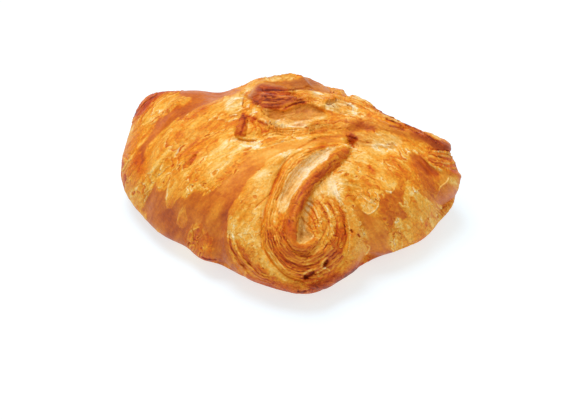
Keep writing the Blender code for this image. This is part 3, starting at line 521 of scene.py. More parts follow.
# Broad browner or paler strokes: path, how much browner, width on the left and on the right, fade at the
# start and at the end
BROWN_STROKES = {
    "mauve lower left": (((-48, 1), (-43.5, -4), (-36.5, -10)), 0.10, 3.5, 4.0, 0.2, 0.2),
    "tan lower left": (((-24, 5.5), (-26.5, -1.5), (-24, -11.5)), -0.14, 3.0, 4.0, 0.1, 0.1),
    "band, low": (((-13.5, 11), (-18, 4.5), (-21.5, -1.5), (-23.5, -10)), 0.14, 2.5, 3.5, 0.4, 0.2),
    "band, high": (((17.5, 26.5), (6, 24.5), (-6.5, 21), (-15, 14.5)), -0.22, 2.5, 4.0, 0.3, 0.3),
    "second left crease": (
        ((-27.5, 29), (-34.5, 24), (-41.5, 19), (-45, 12.5), (-48, 4)), 0.13, 1.5, 1.8, 0.2, 0.2),
    "right of the rings": (((23, -1), (24, -7.5), (22.5, -16)), -0.10, 1.5, 1.5, 0.2, 0.2),
    "top of the furrow": (((21, 9), (24, 5.5), (26, 2.5)), 0.12, 1.2, 1.2, 0.3, 0.2),
    "top of the tip": (((-17.5, 36.5), (-15, 36), (-12.5, 34.5)), 0.20, 0.9, 0.9, 0.2, 0.2),
    "left of the tip": (((-17, 36), (-18.5, 32.5), (-19, 29)), 0.18, 0.7, 0.7, 0.1, 0.1),
    "fold of the tip": (((-15, 36), (-16, 32), (-17.5, 28)), 0.18, 0.5, 0.5, 0.1, 0.1),
    "light beside the fold": (((-14, 34), (-14.5, 31), (-16, 28.5)), -0.16, 0.5, 0.5, 0.2, 0.2),
    "golden low in the outer ring": (((-17.5, -13), (-12.5, -20), (-6.5, -24.5)), 0.14, 2.0, 2.4, 0.2, 0.2),
    "second dark of the crest": (((-10, 41), (-6, 40), (-1.5, 41)), 0.10, 1.1, 1.1, 0.2, 0.2),
    "left top": (((-46.5, 41), (-42, 42), (-36.5, 43)), 0.04, 2.0, 2.0, 0.2, 0.2),
    "dark right rim": (((46, 32.5), (54, 28.5), (63.5, 23.5)), 0.06, 1.4, 1.4, 0.3, 0.0),
    "mauve band of the crest": (((-8, 48.5), (-0.5, 47.5), (8, 47.5), (15, 46)), 0.04, 1.2, 1.2, 0.2, 0.2),
    "crest, left end": (((-10.5, 48.5), (-12, 44.5), (-12.5, 41)), 0.05, 1.6, 1.6, 0.2, 0.2),
    "left top edge": (
        ((-58, 34.5), (-57, 38.5), (-54, 41), (-48, 45.5), (-43.5, 46.5),
         (-39, 46.5)), 0.42, 1.0, 1.8, 0.1, 0.1),
    "left edge": (((-62, 23), (-62.5, 15.5), (-61.5, 9)), 0.14, 1.6, 1.6, 0.2, 0.2),
    "pale left lobe": (((-17.5, 23), (-27, 18.5), (-33.5, 12.5)), -0.12, 6.0, 6.0, 0.2, 0.2),
    "pale under the tip": (((-26.5, 27.5), (-19, 25.5), (-7.5, 25.5)), -0.20, 2.4, 2.4, 0.3, 0.3),
    "seam ridge, dark": (((26, 32.5), (29.5, 31.5), (36.5, 31)), 0.14, 1.4, 1.4, 0.3, 0.3),
    "brown foot": (((-27.5, -17.5), (-17.5, -25.5), (-2, -31.5), (13.5, -31)), 0.14, 1.2, 1.2, 0.2, 0.2),
    "shade low in the recess": (((7, 16), (2.5, 10), (-1, 2.5)), 0.16, 1.8, 1.2, 0.3, 0.05),
    "orange above the recess": (((6, 21), (12.5, 24), (20.5, 25.5)), 0.14, 1.0, 1.0, 0.2, 0.2),
    "golden low in the swirl": (
        ((-6.5, -16), (-1, -23), (6, -26.5), (12.5, -25.5)), -0.03, 1.6, 1.6, 0.2, 0.2),
    "shade of the pocket": (((10, 4.5), (8.5, 0), (7.5, -5.5)), -0.05, 1.2, 1.0, 0.3, 0.5),
    "bottom lip": (((8, -30.5), (16.5, -29), (23.5, -25), (30.5, -20)), 0.32, 2.6, 2.6, 0.1, 0.1),
    # Painted shadow: a browner band under the overhang of the rings
    "shadow under the rings": (
        ((-2.5, -23.5), (3.5, -27.5), (10.5, -29), (16.5, -27), (22, -22)), 0.22, 1.5, 1.5, 0.2, 0.2),
    "bottom of the outer ring": (((-11, -25.5), (-3.5, -29), (6, -31)), 0.2, 1.8, 1.8, 0.3, 0.1),
    "left side": (((-56, 23), (-58, 13), (-56, 5.5)), 0.06, 6.0, 8.0, 0.3, 0.3),
    "top of the left lobe": (((-13.5, 37.5), (-27.5, 31.5), (-38, 24.5)), 0.02, 8.0, 8.0, 0.3, 0.3),
    "low right": (((52, 5.5), (54, -2.5), (44, -13)), 0.06, 6.0, 8.0, 0.3, 0.3),
    # Painted light and shade on the ridge: its lit side paler, its shaded side browner
    "lit side of the ridge": (((19, 22), (11.5, 16), (6.5, 10), (3, 4)), -0.12, 1.4, 1.4, 0.2, 0.2),
    "shaded side of the ridge": (((21, 21), (16, 15), (10.5, 9), (7, 3), (4.5, -4)), 0.22, 1.3, 1.3, 0.2, 0.2),
    "edge of the pocket": (((4.5, -12.5), (7.5, -13), (11, -11)), -0.14, 0.5, 0.5, 0.2, 0.2),
    "orange in the ring": (((-12.5, -11.5), (-12.5, -15.5), (-10.5, -20)), 0.12, 1.4, 1.6, 0.3, 0.3),
    "golden in the ring": (((-12.5, 5.5), (-15, 0)), 0.10, 2.0, 2.0, 0.3, 0.3),
    "pale in the ring": (((-6.5, 16), (-11, 10)), -0.15, 2.2, 2.2, 0.3, 0.3),
    "pale low in the ring": (((-16, -6), (-16, -11.5)), -0.08, 2.0, 2.0, 0.3, 0.3),
    "first dark streak": (((38, 22.5), (43.5, 17), (47.5, 11.5)), 0.14, 1.6, 2.0, 0.3, 0.3),
    "right foot": (((31, -20), (38, -17), (44, -16)), 0.16, 1.4, 1.4, 0.1, 0.2),
    "bottom right": (((18, -28.5), (26, -24), (32, -20)), 0.16, 1.6, 1.6, 0.2, 0.2),
    "right edge": (((66, 17.5), (67.5, 11.5), (64, 4), (58, -4)), 0.10, 1.2, 1.2, 0.2, 0.2),
    "right rim": (((15.5, 47), (25, 45), (32, 41.5), (40.5, 37)), 0.01, 1.2, 1.2, 0.2, 0.2),
}

# Browner patches: centre, how much browner, radii, turn in degrees
BROWN_PATCHES = {
    "corner of the pocket": ((6, -10.5), 0.16, (1.2, 1.8), 0),
    # Painted shadow: a browner patch at the top of the hole at the seam, in its shade
    "over the hole": ((26, 29), 0.24, (1.8, 1.1), -10),
    "knob of the tip": ((-15.5, 36), 0.22, (1.8, 1.1), -15),
    "start of the seam": ((27, 32.5), 0.18, (3.4, 1.6), 15),
    "blister hole": ((32.5, 36.5), 0.26, (1.3, 1.1), 0),
    "brown flake, left roll": ((-31, 39), 0.18, (1.4, 0.9), 20),
    "dark spot, far left": ((-56.5, 17), 0.14, (3, 5), 10),
}

# The streaks of the lobes run round a point of the front plane, those of the back round one of the rear
# plane, and those of the swirl round its own centre
LOBE_CENTRE = (11.5, -29)
REAR_LOBE_CENTRE = (-6.0, -34.0)
SWIRL_CENTRE = (7.5, -6)
# Length along the streaks for each radian of turn, round the lobes and in the swirl
LOBE_STREAK = 45
SWIRL_STREAK = 9
# How far the swirl reaches from its centre, by direction in degrees
SWIRL_REACH = {
    -180: 17.0, -135: 19.5, -90: 22.0, -45: 21.0, 0: 17.5, 35: 15.5,
    60: 22.0, 76: 34.0, 95: 30.0, 115: 25.0, 145: 19.0,
}
# Its width across the streaks. The shifts keep its noise, and that of each band of layers, apart from the
# rest.
SWIRL_WIDTH = 20
SWIRL_SHIFT = 100
BAND_SHIFT = 300
BAND_STEP = 40

# Shapes of strokes, places and thin lines: how far a stroke is followed out, in widths, how far outside a
# place its rise and its torn edge are followed, where its edge begins and ends, the width of its pale rim,
# and how a line fades at its ends
STROKE_REACH = 3
RISE_MARGIN = 3.0
TORN_MARGIN = 4.5
RISE_EDGE = (-0.3, 0.5)
RIM_WIDTH = 0.25
LINE_FADE = 0.12

# Bands of layers: the least width, how far the layers wander and over what length, the length and width of
# the gaps, the painted highlight on the edge between gaps, how the band ends at its sides and at its ends,
# and how smooth it is
THINNEST_BAND = 0.1
LAYER_WANDER = 0.38
WANDER_LENGTH = 3.5
GAP_LENGTH = 1.8
GAP_WIDTH = 0.17
HIGHLIGHT_EDGE_PLACE = 0.70
HIGHLIGHT_EDGE_WIDTH = 0.15
BAND_EDGE = (-0.2, 0.5)
BAND_FADE = 0.1
LAYER_SMOOTHNESS = 0.4

# How far the edges of places wander, in millimetres, and the share of it that thin lines follow
EDGE_WANDER = 0.4
LINE_SHARE = 0.4
# What is drawn on the front plane shows where the crust faces it: not at all at the first value, fully at
# the second
SHOWN_FACING = (-0.25, 0.05)
# How much browner the back, its patches, the foot below this height, and the sole are
BACK_BROWN = 0.10
BACK_PATCHES = 0.30
FOOT_HEIGHT = 9
FOOT_BROWN = 0.08
SOLE_BROWN = 0.12
# How strong blots and streaks are on flaky and on smooth crust
FLAKY_BLOTS = 0.10
FLAKY_STREAKS = 0.07
SMOOTH_BLOTS = 0.08
SMOOTH_STREAKS = 0.05

# Noise of the crust: its seed, the size of its largest forms along each axis in millimetres, how many
# octaves it has, and how much weaker each one is. Two axes run across and along the streaks. Three are
# those of the pastry.
TEXTURES = {
    "wander sideways": (11, (2.5, 5), 3, 0.55),
    "wander upward": (21, (2.5, 5), 3, 0.55),
    "torn edges": (101, (3.2, 9), 5, 0.62),
    "broken rims": (107, (1.5, 3), 2, 0.55),
    "patches": (31, (13, 13, 9), 3, 0.55),
    "streaks": (41, (1.6, 7), 3, 0.55),
    "blots": (51, (4, 7), 4, 0.7),
    "blisters": (81, (2.2, 2.2, 2.2), 3, 0.55),
    "grain": (85, (1.1, 1.1, 1.1), 2, 0.8),
    "fibres": (71, (0.9, 3.2), 2, 0.55),
    "bend across": (13, (3, 3), 4, 0.6),
    "bend along": (17, (3, 4), 4, 0.6),
    "free sheets": (19, (5, 8), 3, 0.55),
}
NOISE_GAIN = 1.6

# How far fine flakes bend across and along the streaks, and the flattest slope that a sheet of dough may
# have
BEND_ACROSS = 0.9
BEND_ALONG = 1.5
FLATTEST_SLOPE = 0.15
# What the fine features do to flaky and to smooth crust: how far each raises it, and how much browner it
# makes it
# The browner gaps, pits and shadows are painted shade in the hollows, and the paler rims painted highlights
# on the edges
FLAKY_RELIEF = {
    "edge of a sheet": (0.26, 0.0),
    "gap before a sheet": (-0.08, 0.0),
    "shadow of a sheet": (0.0, 0.12),
    "rim of a sheet": (0.0, -0.17),
    "shade of a sheet": (0.0, 0.06),
    "large flake": (0.09, 0.08),
    "edge of a large flake": (0.08, 0.0),
    "rim of a large flake": (0.0, -0.08),
    "gap by a large flake": (0.0, 0.07),
    "small flake": (0.04, 0.06),
    "gap by a small flake": (0.0, 0.05),
    "pit": (-0.24, 0.18),
    "rim of a pit": (0.10, -0.12),
    "fibres": (0.06, 0.06),
    "blisters": (0.06, 0.0),
    "grain": (0.0, 0.03),
}
SMOOTH_RELIEF = {
    "blisters": (0.05, 0.03),
    "fibres": (0.0, 0.04),
    "grain": (0.0, 0.04),
}
# Painted light and shade: how much paler flaky crust is for each millimetre it is raised, and browner for
# each it is sunk, and how much flatter the sole is
PAINTED_LIGHT_BY_HEIGHT = 0.25
SOLE_FLATNESS = 0.7

# Colours from cream to burnt of flaky crust, of smooth crust and of raw dough, as seen in even light
CRUST_COLOURS = {
    0.00: ((250, 234, 196), (250, 232, 196), (250, 238, 208)),
    0.15: ((246, 206, 126), (246, 204, 126), (240, 212, 158)),
    0.30: ((240, 177, 68), (239, 173, 72), (228, 186, 114)),
    0.45: ((230, 144, 28), (228, 143, 42), (210, 158, 80)),
    0.60: ((216, 111, 16), (208, 113, 30), (184, 126, 56)),
    0.75: ((200, 81, 10), (186, 88, 26), (152, 94, 38)),
    0.88: ((178, 56, 4), (158, 66, 24), (118, 68, 28)),
    1.00: ((122, 33, 4), (116, 44, 18), (74, 40, 18)),
}

# The floor, in metres. It lies a hair above the sole, so that from below the two don't share a plane.
FLOOR_REACH = 3.0
FLOOR_HEIGHT = 0.00005
FLOOR_COLOUR = (0.32, 0.44, 0.50, 1)
FLOOR_GLOW = 0.66

# The light: the studio all round, and the lamp overhead, in metres and watts
STUDIO_COLOUR = (1.0, 0.975, 0.91, 1)
STUDIO_STRENGTH = 0.61
LAMP_PLACE = (-0.15, 0.1, 0.9)
LAMP_SIZE = 0.5
LAMP_WATTS = 4.8
LAMP_COLOUR = (1.0, 0.99, 1.12)

# The camera: the width of the picture at the pastry, from pixels and pixels to a millimetre, and the width
# of the sensor in millimetres. The last value is the nearest that it sees, in metres.
PICTURE_WIDTH = 570 / 2.6
SENSOR_WIDTH = 36.0
NEAREST_SEEN = 0.01


# Values from -1 to 1 that every noise below is made of
RANDOM_VALUES = np.random.default_rng(7).uniform(-1, 1, (512, 512))


def smoothstep(low, high, x):
    """0 up to low, 1 from high on, and an even passage between. The two may also run downward."""
    t = np.clip((x - low) / (high - low), 0, 1)
    return t * t * (3 - 2 * t)


def bump(distance, width):
    """1 on a line and 0 away from it, for a line about twice this wide."""
    return np.exp(-((distance / width) ** 2))


def view_axes(azimuth, elevation):
    """The right, up and eye directions of a view of the pastry."""
    a, e = np.radians(azimuth), np.radians(elevation)
    eye = np.array([np.sin(a) * np.cos(e), -np.cos(a) * np.cos(e), np.sin(e)])
    right = np.array([np.cos(a), np.sin(a), 0.0])
    return right, np.cross(eye, right), eye


def drawn(points, axes):
    """Where the points fall on the drawing plane of a view."""
    right, up, eye = axes
    offset = points - DRAWING_CENTRE
    scale = DRAWING_DISTANCE / (DRAWING_DISTANCE - offset @ eye)
    return (offset @ right) * scale, (offset @ up) * scale


def smooth_path(path, steps=8, closed=False):
    """A smooth curve through the points of the path."""
    p = np.array(path, float)
    if closed:
        p = np.vstack([p[-1:], p, p[:2]])
    else:
        p = np.vstack([2 * p[0] - p[1], p, 2 * p[-1] - p[-2]])
    t = np.linspace(0, 1, steps, endpoint=False)[:, None]
    spans = []
    for a, b, c, d in zip(p, p[1:], p[2:], p[3:]):
        bend = (2 * a - 5 * b + 4 * c - d) * t**2 + (3 * b - a - 3 * c + d) * t**3
        spans.append(b + 0.5 * ((c - a) * t + bend))
    return np.vstack(spans + [p[-2:-1]])


def beside(path, x, y):
    """The distance of each point from the path, positive on its left, and how far along the path it lies."""
    starts, runs = path[:-1], np.diff(path, axis=0)
    lengths = np.hypot(*runs.T)
    travelled = np.concatenate([[0], np.cumsum(lengths)])
    distance = np.full(x.shape, 1e9)
    side, along = np.ones(x.shape), np.zeros(x.shape)
    for (x0, y0), (run_x, run_y), length, before in zip(starts, runs, lengths, travelled):
        dx, dy = x - x0, y - y0
        t = np.clip((dx * run_x + dy * run_y) / length**2, 0, 1)
        dx, dy = dx - t * run_x, dy - t * run_y
        gap = np.hypot(dx, dy)
        nearer = gap < distance
        distance = np.where(nearer, gap, distance)
        side = np.where(nearer, np.where(run_x * dy < run_y * dx, -1, 1), side)
        along = np.where(nearer, (before + t * length) / travelled[-1], along)
    return distance * side, along


def near(path, x, y, margin=0.0):
    """Which points lie in the box round a path, or within a margin of it."""
    low, high = path.min(axis=0) - margin, path.max(axis=0) + margin
    return (x > low[0]) & (x < high[0]) & (y > low[1]) & (y < high[1])


def stroke_height(stroke, x, y):
    """How far one fold lifts the surface, or one stroke browns it, at x, y of its plane."""
    path, rise, left, right, fade_in, fade_out = stroke
    line = smooth_path(path)
    close = near(line, x, y, STROKE_REACH * max(left, right))
    distance, along = beside(line, x[close], y[close])
    width = np.where(distance > 0, left, right)
    fade = smoothstep(0, fade_in, along) if fade_in else 1.0
    if fade_out:
        fade = fade * smoothstep(0, fade_out, 1 - along)
    height = np.zeros(x.shape)
    height[close] = rise * fade * bump(distance, width)
    return height


def patch_height(patch, x, y):
    """How far one swelling lifts the surface, or one patch browns it, at x, y of its plane."""
    (centre_x, centre_y), rise, (radius_a, radius_b), turn = patch
    dx, dy = x - centre_x, y - centre_y
    t = np.radians(turn)
    a = (dx * np.cos(t) + dy * np.sin(t)) / radius_a
    b = (dy * np.cos(t) - dx * np.sin(t)) / radius_b
    return rise * np.exp(-(a**2 + b**2))


def enclosed(closed, x, y):
    """Which points a closed path surrounds: those with an odd number of crossings on their right."""
    surrounded = np.zeros(x.shape, bool)
    for (x0, y0), (x1, y1) in zip(closed, closed[1:]):
        if y0 != y1:
            passed = (y0 > y) != (y1 > y)
            surrounded ^= passed & (x < x0 + (y - y0) * (x1 - x0) / (y1 - y0))
    return surrounded


def depth_inside(outline, x, y, margin):
    """How far each point lies inside a closed outline, in millimetres. It is negative outside."""
    closed = smooth_path(outline, steps=5, closed=True)
    close = near(closed, x, y, margin)
    depth = np.full(x.shape, -margin)
    distance = np.abs(beside(closed, x[close], y[close])[0])
    surrounded = enclosed(closed, x[close], y[close])
    depth[close] = np.where(surrounded, distance, np.maximum(-distance, -margin))
    return depth


def place_rise(place, x, y):
    """The lift of one place: steep at its edge, rounded further in."""
    if place.rise == 0:
        return np.zeros(x.shape)
    depth = depth_inside(place.outline, x, y, RISE_MARGIN)
    inward = 1 - (1 - np.clip(depth / place.rounding, 0, 1)) ** 2
    return place.rise * inward * smoothstep(*RISE_EDGE, depth)


def line_shape(path, width, x, y):
    """1 on a thin line that is drawn on the crust, and 0 away from it."""
    return stroke_height((path, 1.0, width, width, LINE_FADE, LINE_FADE), x, y)


def line_rise(line, x, y):
    """How far a thin line stands up."""
    path, rise, _, width = line
    return rise * line_shape(path, width, x, y)


def line_browning(line, x, y):
    """How much browner a thin line is."""
    path, _, browner, width = line
    # For a sunk line the browning is painted shade
    return browner * line_shape(path, width, x, y)


def path_length(path):
    return np.hypot(*np.diff(path, axis=0).T).sum()


def layer_lines(band, x, y):
    """How far each point of a band of layers is raised, how much browner it is, how far it is inside the
    band, and where it lies across and along the layers.
    """
    first, last, layers, depth, browner = band
    first, last = smooth_path(first), smooth_path(last)
    close = near(np.vstack([first, last]), x, y)
    from_first, along = beside(first, x[close], y[close])
    from_last, along_last = beside(last, x[close], y[close])
    from_last = -from_last
    width = np.maximum(from_first + from_last, THINNEST_BAND)
    level = np.clip(from_first / width, 0, 1) * layers
    length = (path_length(first) + path_length(last)) / 2
    run = (along + along_last) / 2 * length
    level = level + LAYER_WANDER * layered_noise(layers, run / WANDER_LENGTH, level / 2, octaves=3)
    layer = np.floor(level)
    part = level - layer
    shade = hashed([layer.astype(np.int64)], layers)
    broken = 0.40 + 1.3 * noise(layers + 7, run / GAP_LENGTH, 3.7 * layer)
    gap = bump(np.minimum(part, 1 - part), GAP_WIDTH) * np.clip(broken, 0, 1.3)
    edge = bump(part - HIGHLIGHT_EDGE_PLACE, HIGHLIGHT_EDGE_WIDTH)
    inside = smoothstep(*BAND_EDGE, from_first) * smoothstep(*BAND_EDGE, from_last)
    inside = inside * smoothstep(0, BAND_FADE, np.minimum(along, along_last))
    inside = inside * smoothstep(0, BAND_FADE, 1 - np.maximum(along, along_last))
    result = np.zeros((5, *x.shape))
    result[0, close] = inside * depth * (0.3 * shade - gap)
    # Painted light: the gaps are browner as shade and the edge between them paler as a highlight
    result[1, close] = inside * browner * (gap - 0.6 * edge + 0.3 * shade)
    result[2, close] = inside
    result[3, close] = from_first
    result[4, close] = run
    return result


def layer_rise(band, x, y):
    """How far the layers of a band are raised."""
    return layer_lines(band, x, y)[0]


def total(height, features):
    """The heights of all the features together, as one function of x and y."""
    return lambda x, y: sum(height(feature, x, y) for feature in features)


def ball(squares):
    """A unit ball of six curved grids: its points, and its four-sided faces."""
    points, faces = [], []
    across = squares + 1
    ticks = np.tan(np.linspace(-1, 1, across) * np.pi / 4)
    row, column = np.meshgrid(np.arange(squares), np.arange(squares), indexing="ij")
    corner = (row * across + column).ravel()
    for axis in range(3):
        for sign in (-1, 1):
            grid = np.zeros((across, across, 3))
            grid[..., axis] = sign
            grid[..., (axis + 1) % 3] = ticks[:, None]
            grid[..., (axis + 2) % 3] = ticks[None, :]
            first = corner + len(points) * across**2
            face = np.stack([first, first + across, first + across + 1, first + 1], 1)
            faces.append(face if sign > 0 else face[:, ::-1])
            points.append(grid.reshape(-1, 3))
    points, faces = np.vstack(points), np.vstack(faces)
    _, kept, merged = np.unique(np.round(points, 7), axis=0, return_index=True, return_inverse=True)
    points = points[kept]
    return points / np.linalg.norm(points, axis=1)[:, None], merged.reshape(-1)[faces]


def cushion(directions):
    """The plain cushion: each direction from its middle is followed out to its skin."""
    skin = directions * BALL_RADII
    plan = np.zeros(len(skin))
    for azimuth, distance in SIDES.items():
        a = np.radians(azimuth)
        reach = (skin[:, 0] * np.cos(a) + skin[:, 1] * np.sin(a)) / distance
        plan += np.maximum(reach, 0) ** CORNER_SHARPNESS
    height = np.where(skin[:, 2] > 0, CROWN_HEIGHT, BELLY_DEPTH)
    size = plan ** (EDGE_ROUNDNESS / CORNER_SHARPNESS) + np.abs(skin[:, 2] / height) ** EDGE_ROUNDNESS
    skin = skin * (size ** (-1 / EDGE_ROUNDNESS))[:, None]
    skin[:, 2] += BELLY_DEPTH
    return skin


def normals(points, faces):
    """The outward direction at every point: the mean over the faces that meet there."""
    a, b, c, d = (points[faces[:, k]] for k in range(4))
    face_normals = np.cross(c - a, d - b)
    sums = np.zeros_like(points)
    for k in range(4):
        for axis in range(3):
            sums[:, axis] += np.bincount(faces[:, k], face_normals[:, axis], len(points))
    return sums / np.linalg.norm(sums, axis=1)[:, None]


def lifted(points, faces, lift_of, axes=None, facing=(-0.15, 0.15)):
    """The points moved out along their normals by lift_of(x, y) of the plane that axes name, or of the plan.

    The lift fades in between the two values of facing, which say how far a point faces the eye.
    """
    outward = normals(points, faces)
    if axes is None:
        x, y, towards = points[:, 0], points[:, 1], outward[:, 2]
    else:
        x, y = drawn(points, axes)
        towards = outward @ axes[2]
    lift = lift_of(x, y) * smoothstep(*facing, towards)
    return points + outward * lift[:, None]


def folded_pastry():
    """The points and faces of the folded cushion, before its layers flake."""
    front, rear = view_axes(*FRONT_VIEW), view_axes(*REAR_VIEW)
    directions, faces = ball(SQUARES)
    directions = directions + FRONT_PULL * front[2]
    directions /= np.linalg.norm(directions, axis=1)[:, None]
    points = cushion(directions)
    points = lifted(points, faces, total(stroke_height, PLAN_FOLDS.values()), facing=(-0.2, 0.4))
    points = lifted(points, faces, total(patch_height, SWELLINGS.values()), front, facing=(-0.35, 0.1))
    front_folds = [*SWIRL_FOLDS.values(), *LOBE_FOLDS.values(), *CREST_FOLDS.values()]
    points = lifted(points, faces, total(stroke_height, front_folds), front)
    points = lifted(points, faces, total(place_rise, PLACES.values()), front)
    points = lifted(points, faces, total(layer_rise, LAYERS.values()), front)
    points = lifted(points, faces, total(line_rise, LINES.values()), front)
    points = lifted(points, faces, total(stroke_height, REAR_FOLDS.values()), rear, facing=(0.1, 0.5))
    return points, faces


def hashed(cells, seed):
    """A repeatable value from -1 to 1 for each whole-numbered cell of up to three axes."""
    column, row, level = [*cells, 0, 0][:3]
    column = column + 17 * level + 37 * seed
    row = row + 89 * level + 11 * seed
    return RANDOM_VALUES[column % len(RANDOM_VALUES), row % len(RANDOM_VALUES)]


def noise(seed, *axes):
    """Smooth noise from -1 to 1 over two or three axes, one unit to a cell."""
    whole = [np.floor(axis).astype(np.int64) for axis in axes]
    part = [axis - cell for axis, cell in zip(axes, whole)]
    ease = [t**3 * (t * (6 * t - 15) + 10) for t in part]
    result = 0.0
    for corner in range(2 ** len(axes)):
        weight = 1.0
        cells = []
        for k, (cell, t) in enumerate(zip(whole, ease)):
            far = corner >> k & 1
            cells.append(cell + far)
            weight = weight * (t if far else 1 - t)
        result = result + weight * hashed(cells, seed)
    return result


def neighbours(a, b):
    """The cell that each point lies in and the eight round it, one set of cells at a time."""
    column, row = np.floor(a).astype(np.int64), np.floor(b).astype(np.int64)
    for step_a in (-1, 0, 1):
        for step_b in (-1, 0, 1):
            yield [column + step_a, row + step_b]


def cell_centres(cells, stray, seed):
    """A point in each cell that strays from its middle by this share of the cell at most."""
    return (cell + 0.5 + stray * hashed(cells, seed + k) for k, cell in enumerate(cells))


def pits(seed, across, along, spacing, radius, share):
    """Small scattered holes: how near each point is to the middle of one, from 0 to 1, and to its rim."""
    a, b = across / spacing, along / (2 * spacing)
    middle, rim = np.zeros(a.shape), np.zeros(a.shape)
    for cells in neighbours(a, b):
        centre_a, centre_b = cell_centres(cells, 0.45, seed)
        there = hashed(cells, seed + 2) < 2 * share - 1
        size = radius * (0.7 + 0.4 * hashed(cells, seed + 3))
        gap = np.hypot((a - centre_a) * spacing, (b - centre_b) * spacing) / size
        middle = np.maximum(middle, there * smoothstep(1.0, 0.5, gap))
        rim = np.maximum(rim, there * bump(gap - 1.35, 0.35))
    return middle, rim


def layered_noise(seed, *axes, octaves=3, falloff=0.55):
    """Noise with finer and weaker noise on top, brought back to about -1 to 1."""
    result, strength, span = 0.0, 1.0, 0.0
    for octave in range(octaves):
        result = result + strength * noise(seed + octave, *(axis * 2**octave for axis in axes))
        span += strength
        strength *= falloff
    return result / span * NOISE_GAIN


def texture(name, *axes):
    """One of the textures, at the points with these coordinates."""
    seed, sizes, octaves, falloff = TEXTURES[name]
    scaled = [axis / size for axis, size in zip(axes, sizes)]
    return layered_noise(seed, *scaled, octaves=octaves, falloff=falloff)


def swirl_reach(angle):
    """How far the swirl reaches from its centre in each direction."""
    stops = sorted(SWIRL_REACH)
    around = [stops[-1] - 360, *stops, stops[0] + 360]
    values = [SWIRL_REACH[stops[-1]], *(SWIRL_REACH[s] for s in stops), SWIRL_REACH[stops[0]]]
    return np.interp(np.degrees(angle), around, values)


def flow_of(points, outward, front, rear):
    """Where each point falls on the front drawing plane, and where it lies across and along the streaks."""
    u, v = drawn(points, front)
    du, dv = u - LOBE_CENTRE[0], v - LOBE_CENTRE[1]
    across, along = np.hypot(du, dv), np.arctan2(du, dv) * LOBE_STREAK
    rear_u, rear_v = drawn(points, rear)
    du, dv = REAR_LOBE_CENTRE[0] - rear_u, rear_v - REAR_LOBE_CENTRE[1]
    behind = smoothstep(0.15, -0.35, outward @ front[2])
    across = across * (1 - behind) + np.hypot(du, dv) * behind
    along = along * (1 - behind) + np.arctan2(du, dv) * LOBE_STREAK * behind
    du, dv = u - SWIRL_CENTRE[0], v - SWIRL_CENTRE[1]
    angle = np.arctan2(dv, du)
    depth = np.hypot(du, dv) / swirl_reach(angle)
    in_swirl = smoothstep(1.02, 0.96, depth) * (1 - behind) > 0.5
    across = np.where(in_swirl, depth * SWIRL_WIDTH + SWIRL_SHIFT, across)
    along = np.where(in_swirl, angle * SWIRL_STREAK, along)
    return u, v, across, along


def sheet_edges(seed, across, along, width, length, sheets):
    """Thin sheets of dough that overlap along wandering edges.

    Gives the distance of each point in from the edge of its own sheet, and out to the edge of the next, in
    millimetres, and a value from -1 to 1 for each sheet.
    """
    def level(a, b):
        return layered_noise(seed, a / width, b / length, octaves=3, falloff=0.42) * sheets

    here = level(across, along)
    step = 0.1
    slope = np.hypot(level(across + step, along) - here, level(across, along + step) - here) / step
    slope = np.maximum(slope, FLATTEST_SLOPE)
    sheet = np.floor(here)
    inside = (here - sheet) / slope
    outside = (1 - here + sheet) / slope
    return inside, outside, hashed([sheet.astype(np.int64)], seed)


def flakes(seed, across, along, width, length):
    """Small irregular flakes: a value from -1 to 1 for each, and how far each point lies in from its edge."""
    a, b = across / width, along / length
    far_off = 9.0
    nearest, second, value = np.full(a.shape, far_off), np.full(a.shape, far_off), np.zeros(a.shape)
    for cells in neighbours(a, b):
        centre_a, centre_b = cell_centres(cells, 0.48, seed)
        gap = np.hypot(a - centre_a, b - centre_b)
        second = np.minimum(second, np.maximum(gap, nearest))
        value = np.where(gap < nearest, hashed(cells, seed + 2), value)
        nearest = np.minimum(nearest, gap)
    return value, (second - nearest) * width / 2


def painted_places(u, v, across, along):
    """The tone, smoothness and rawness that the places give to every point of the front drawing plane."""
    tone = np.full(u.shape, PLAIN_BROWN)
    smooth = np.full(u.shape, PLAIN_SMOOTHNESS)
    raw = np.zeros(u.shape)
    torn = texture("torn edges", across, along)
    broken = np.clip(0.6 + 0.8 * texture("broken rims", across, along), 0, 1.3)
    for place in PLACES.values():
        depth = depth_inside(place.outline, u, v, TORN_MARGIN) + place.ragged * torn
        inside = smoothstep(-place.soft, place.soft, depth)
        rim = place.rim * bump(depth - RIM_WIDTH, RIM_WIDTH) * broken * smooth
        tone = tone + (place.tone - tone) * inside - rim
        smooth = smooth + (place.smooth - smooth) * inside
        raw = raw + (place.raw - raw) * inside
    return tone, smooth, raw


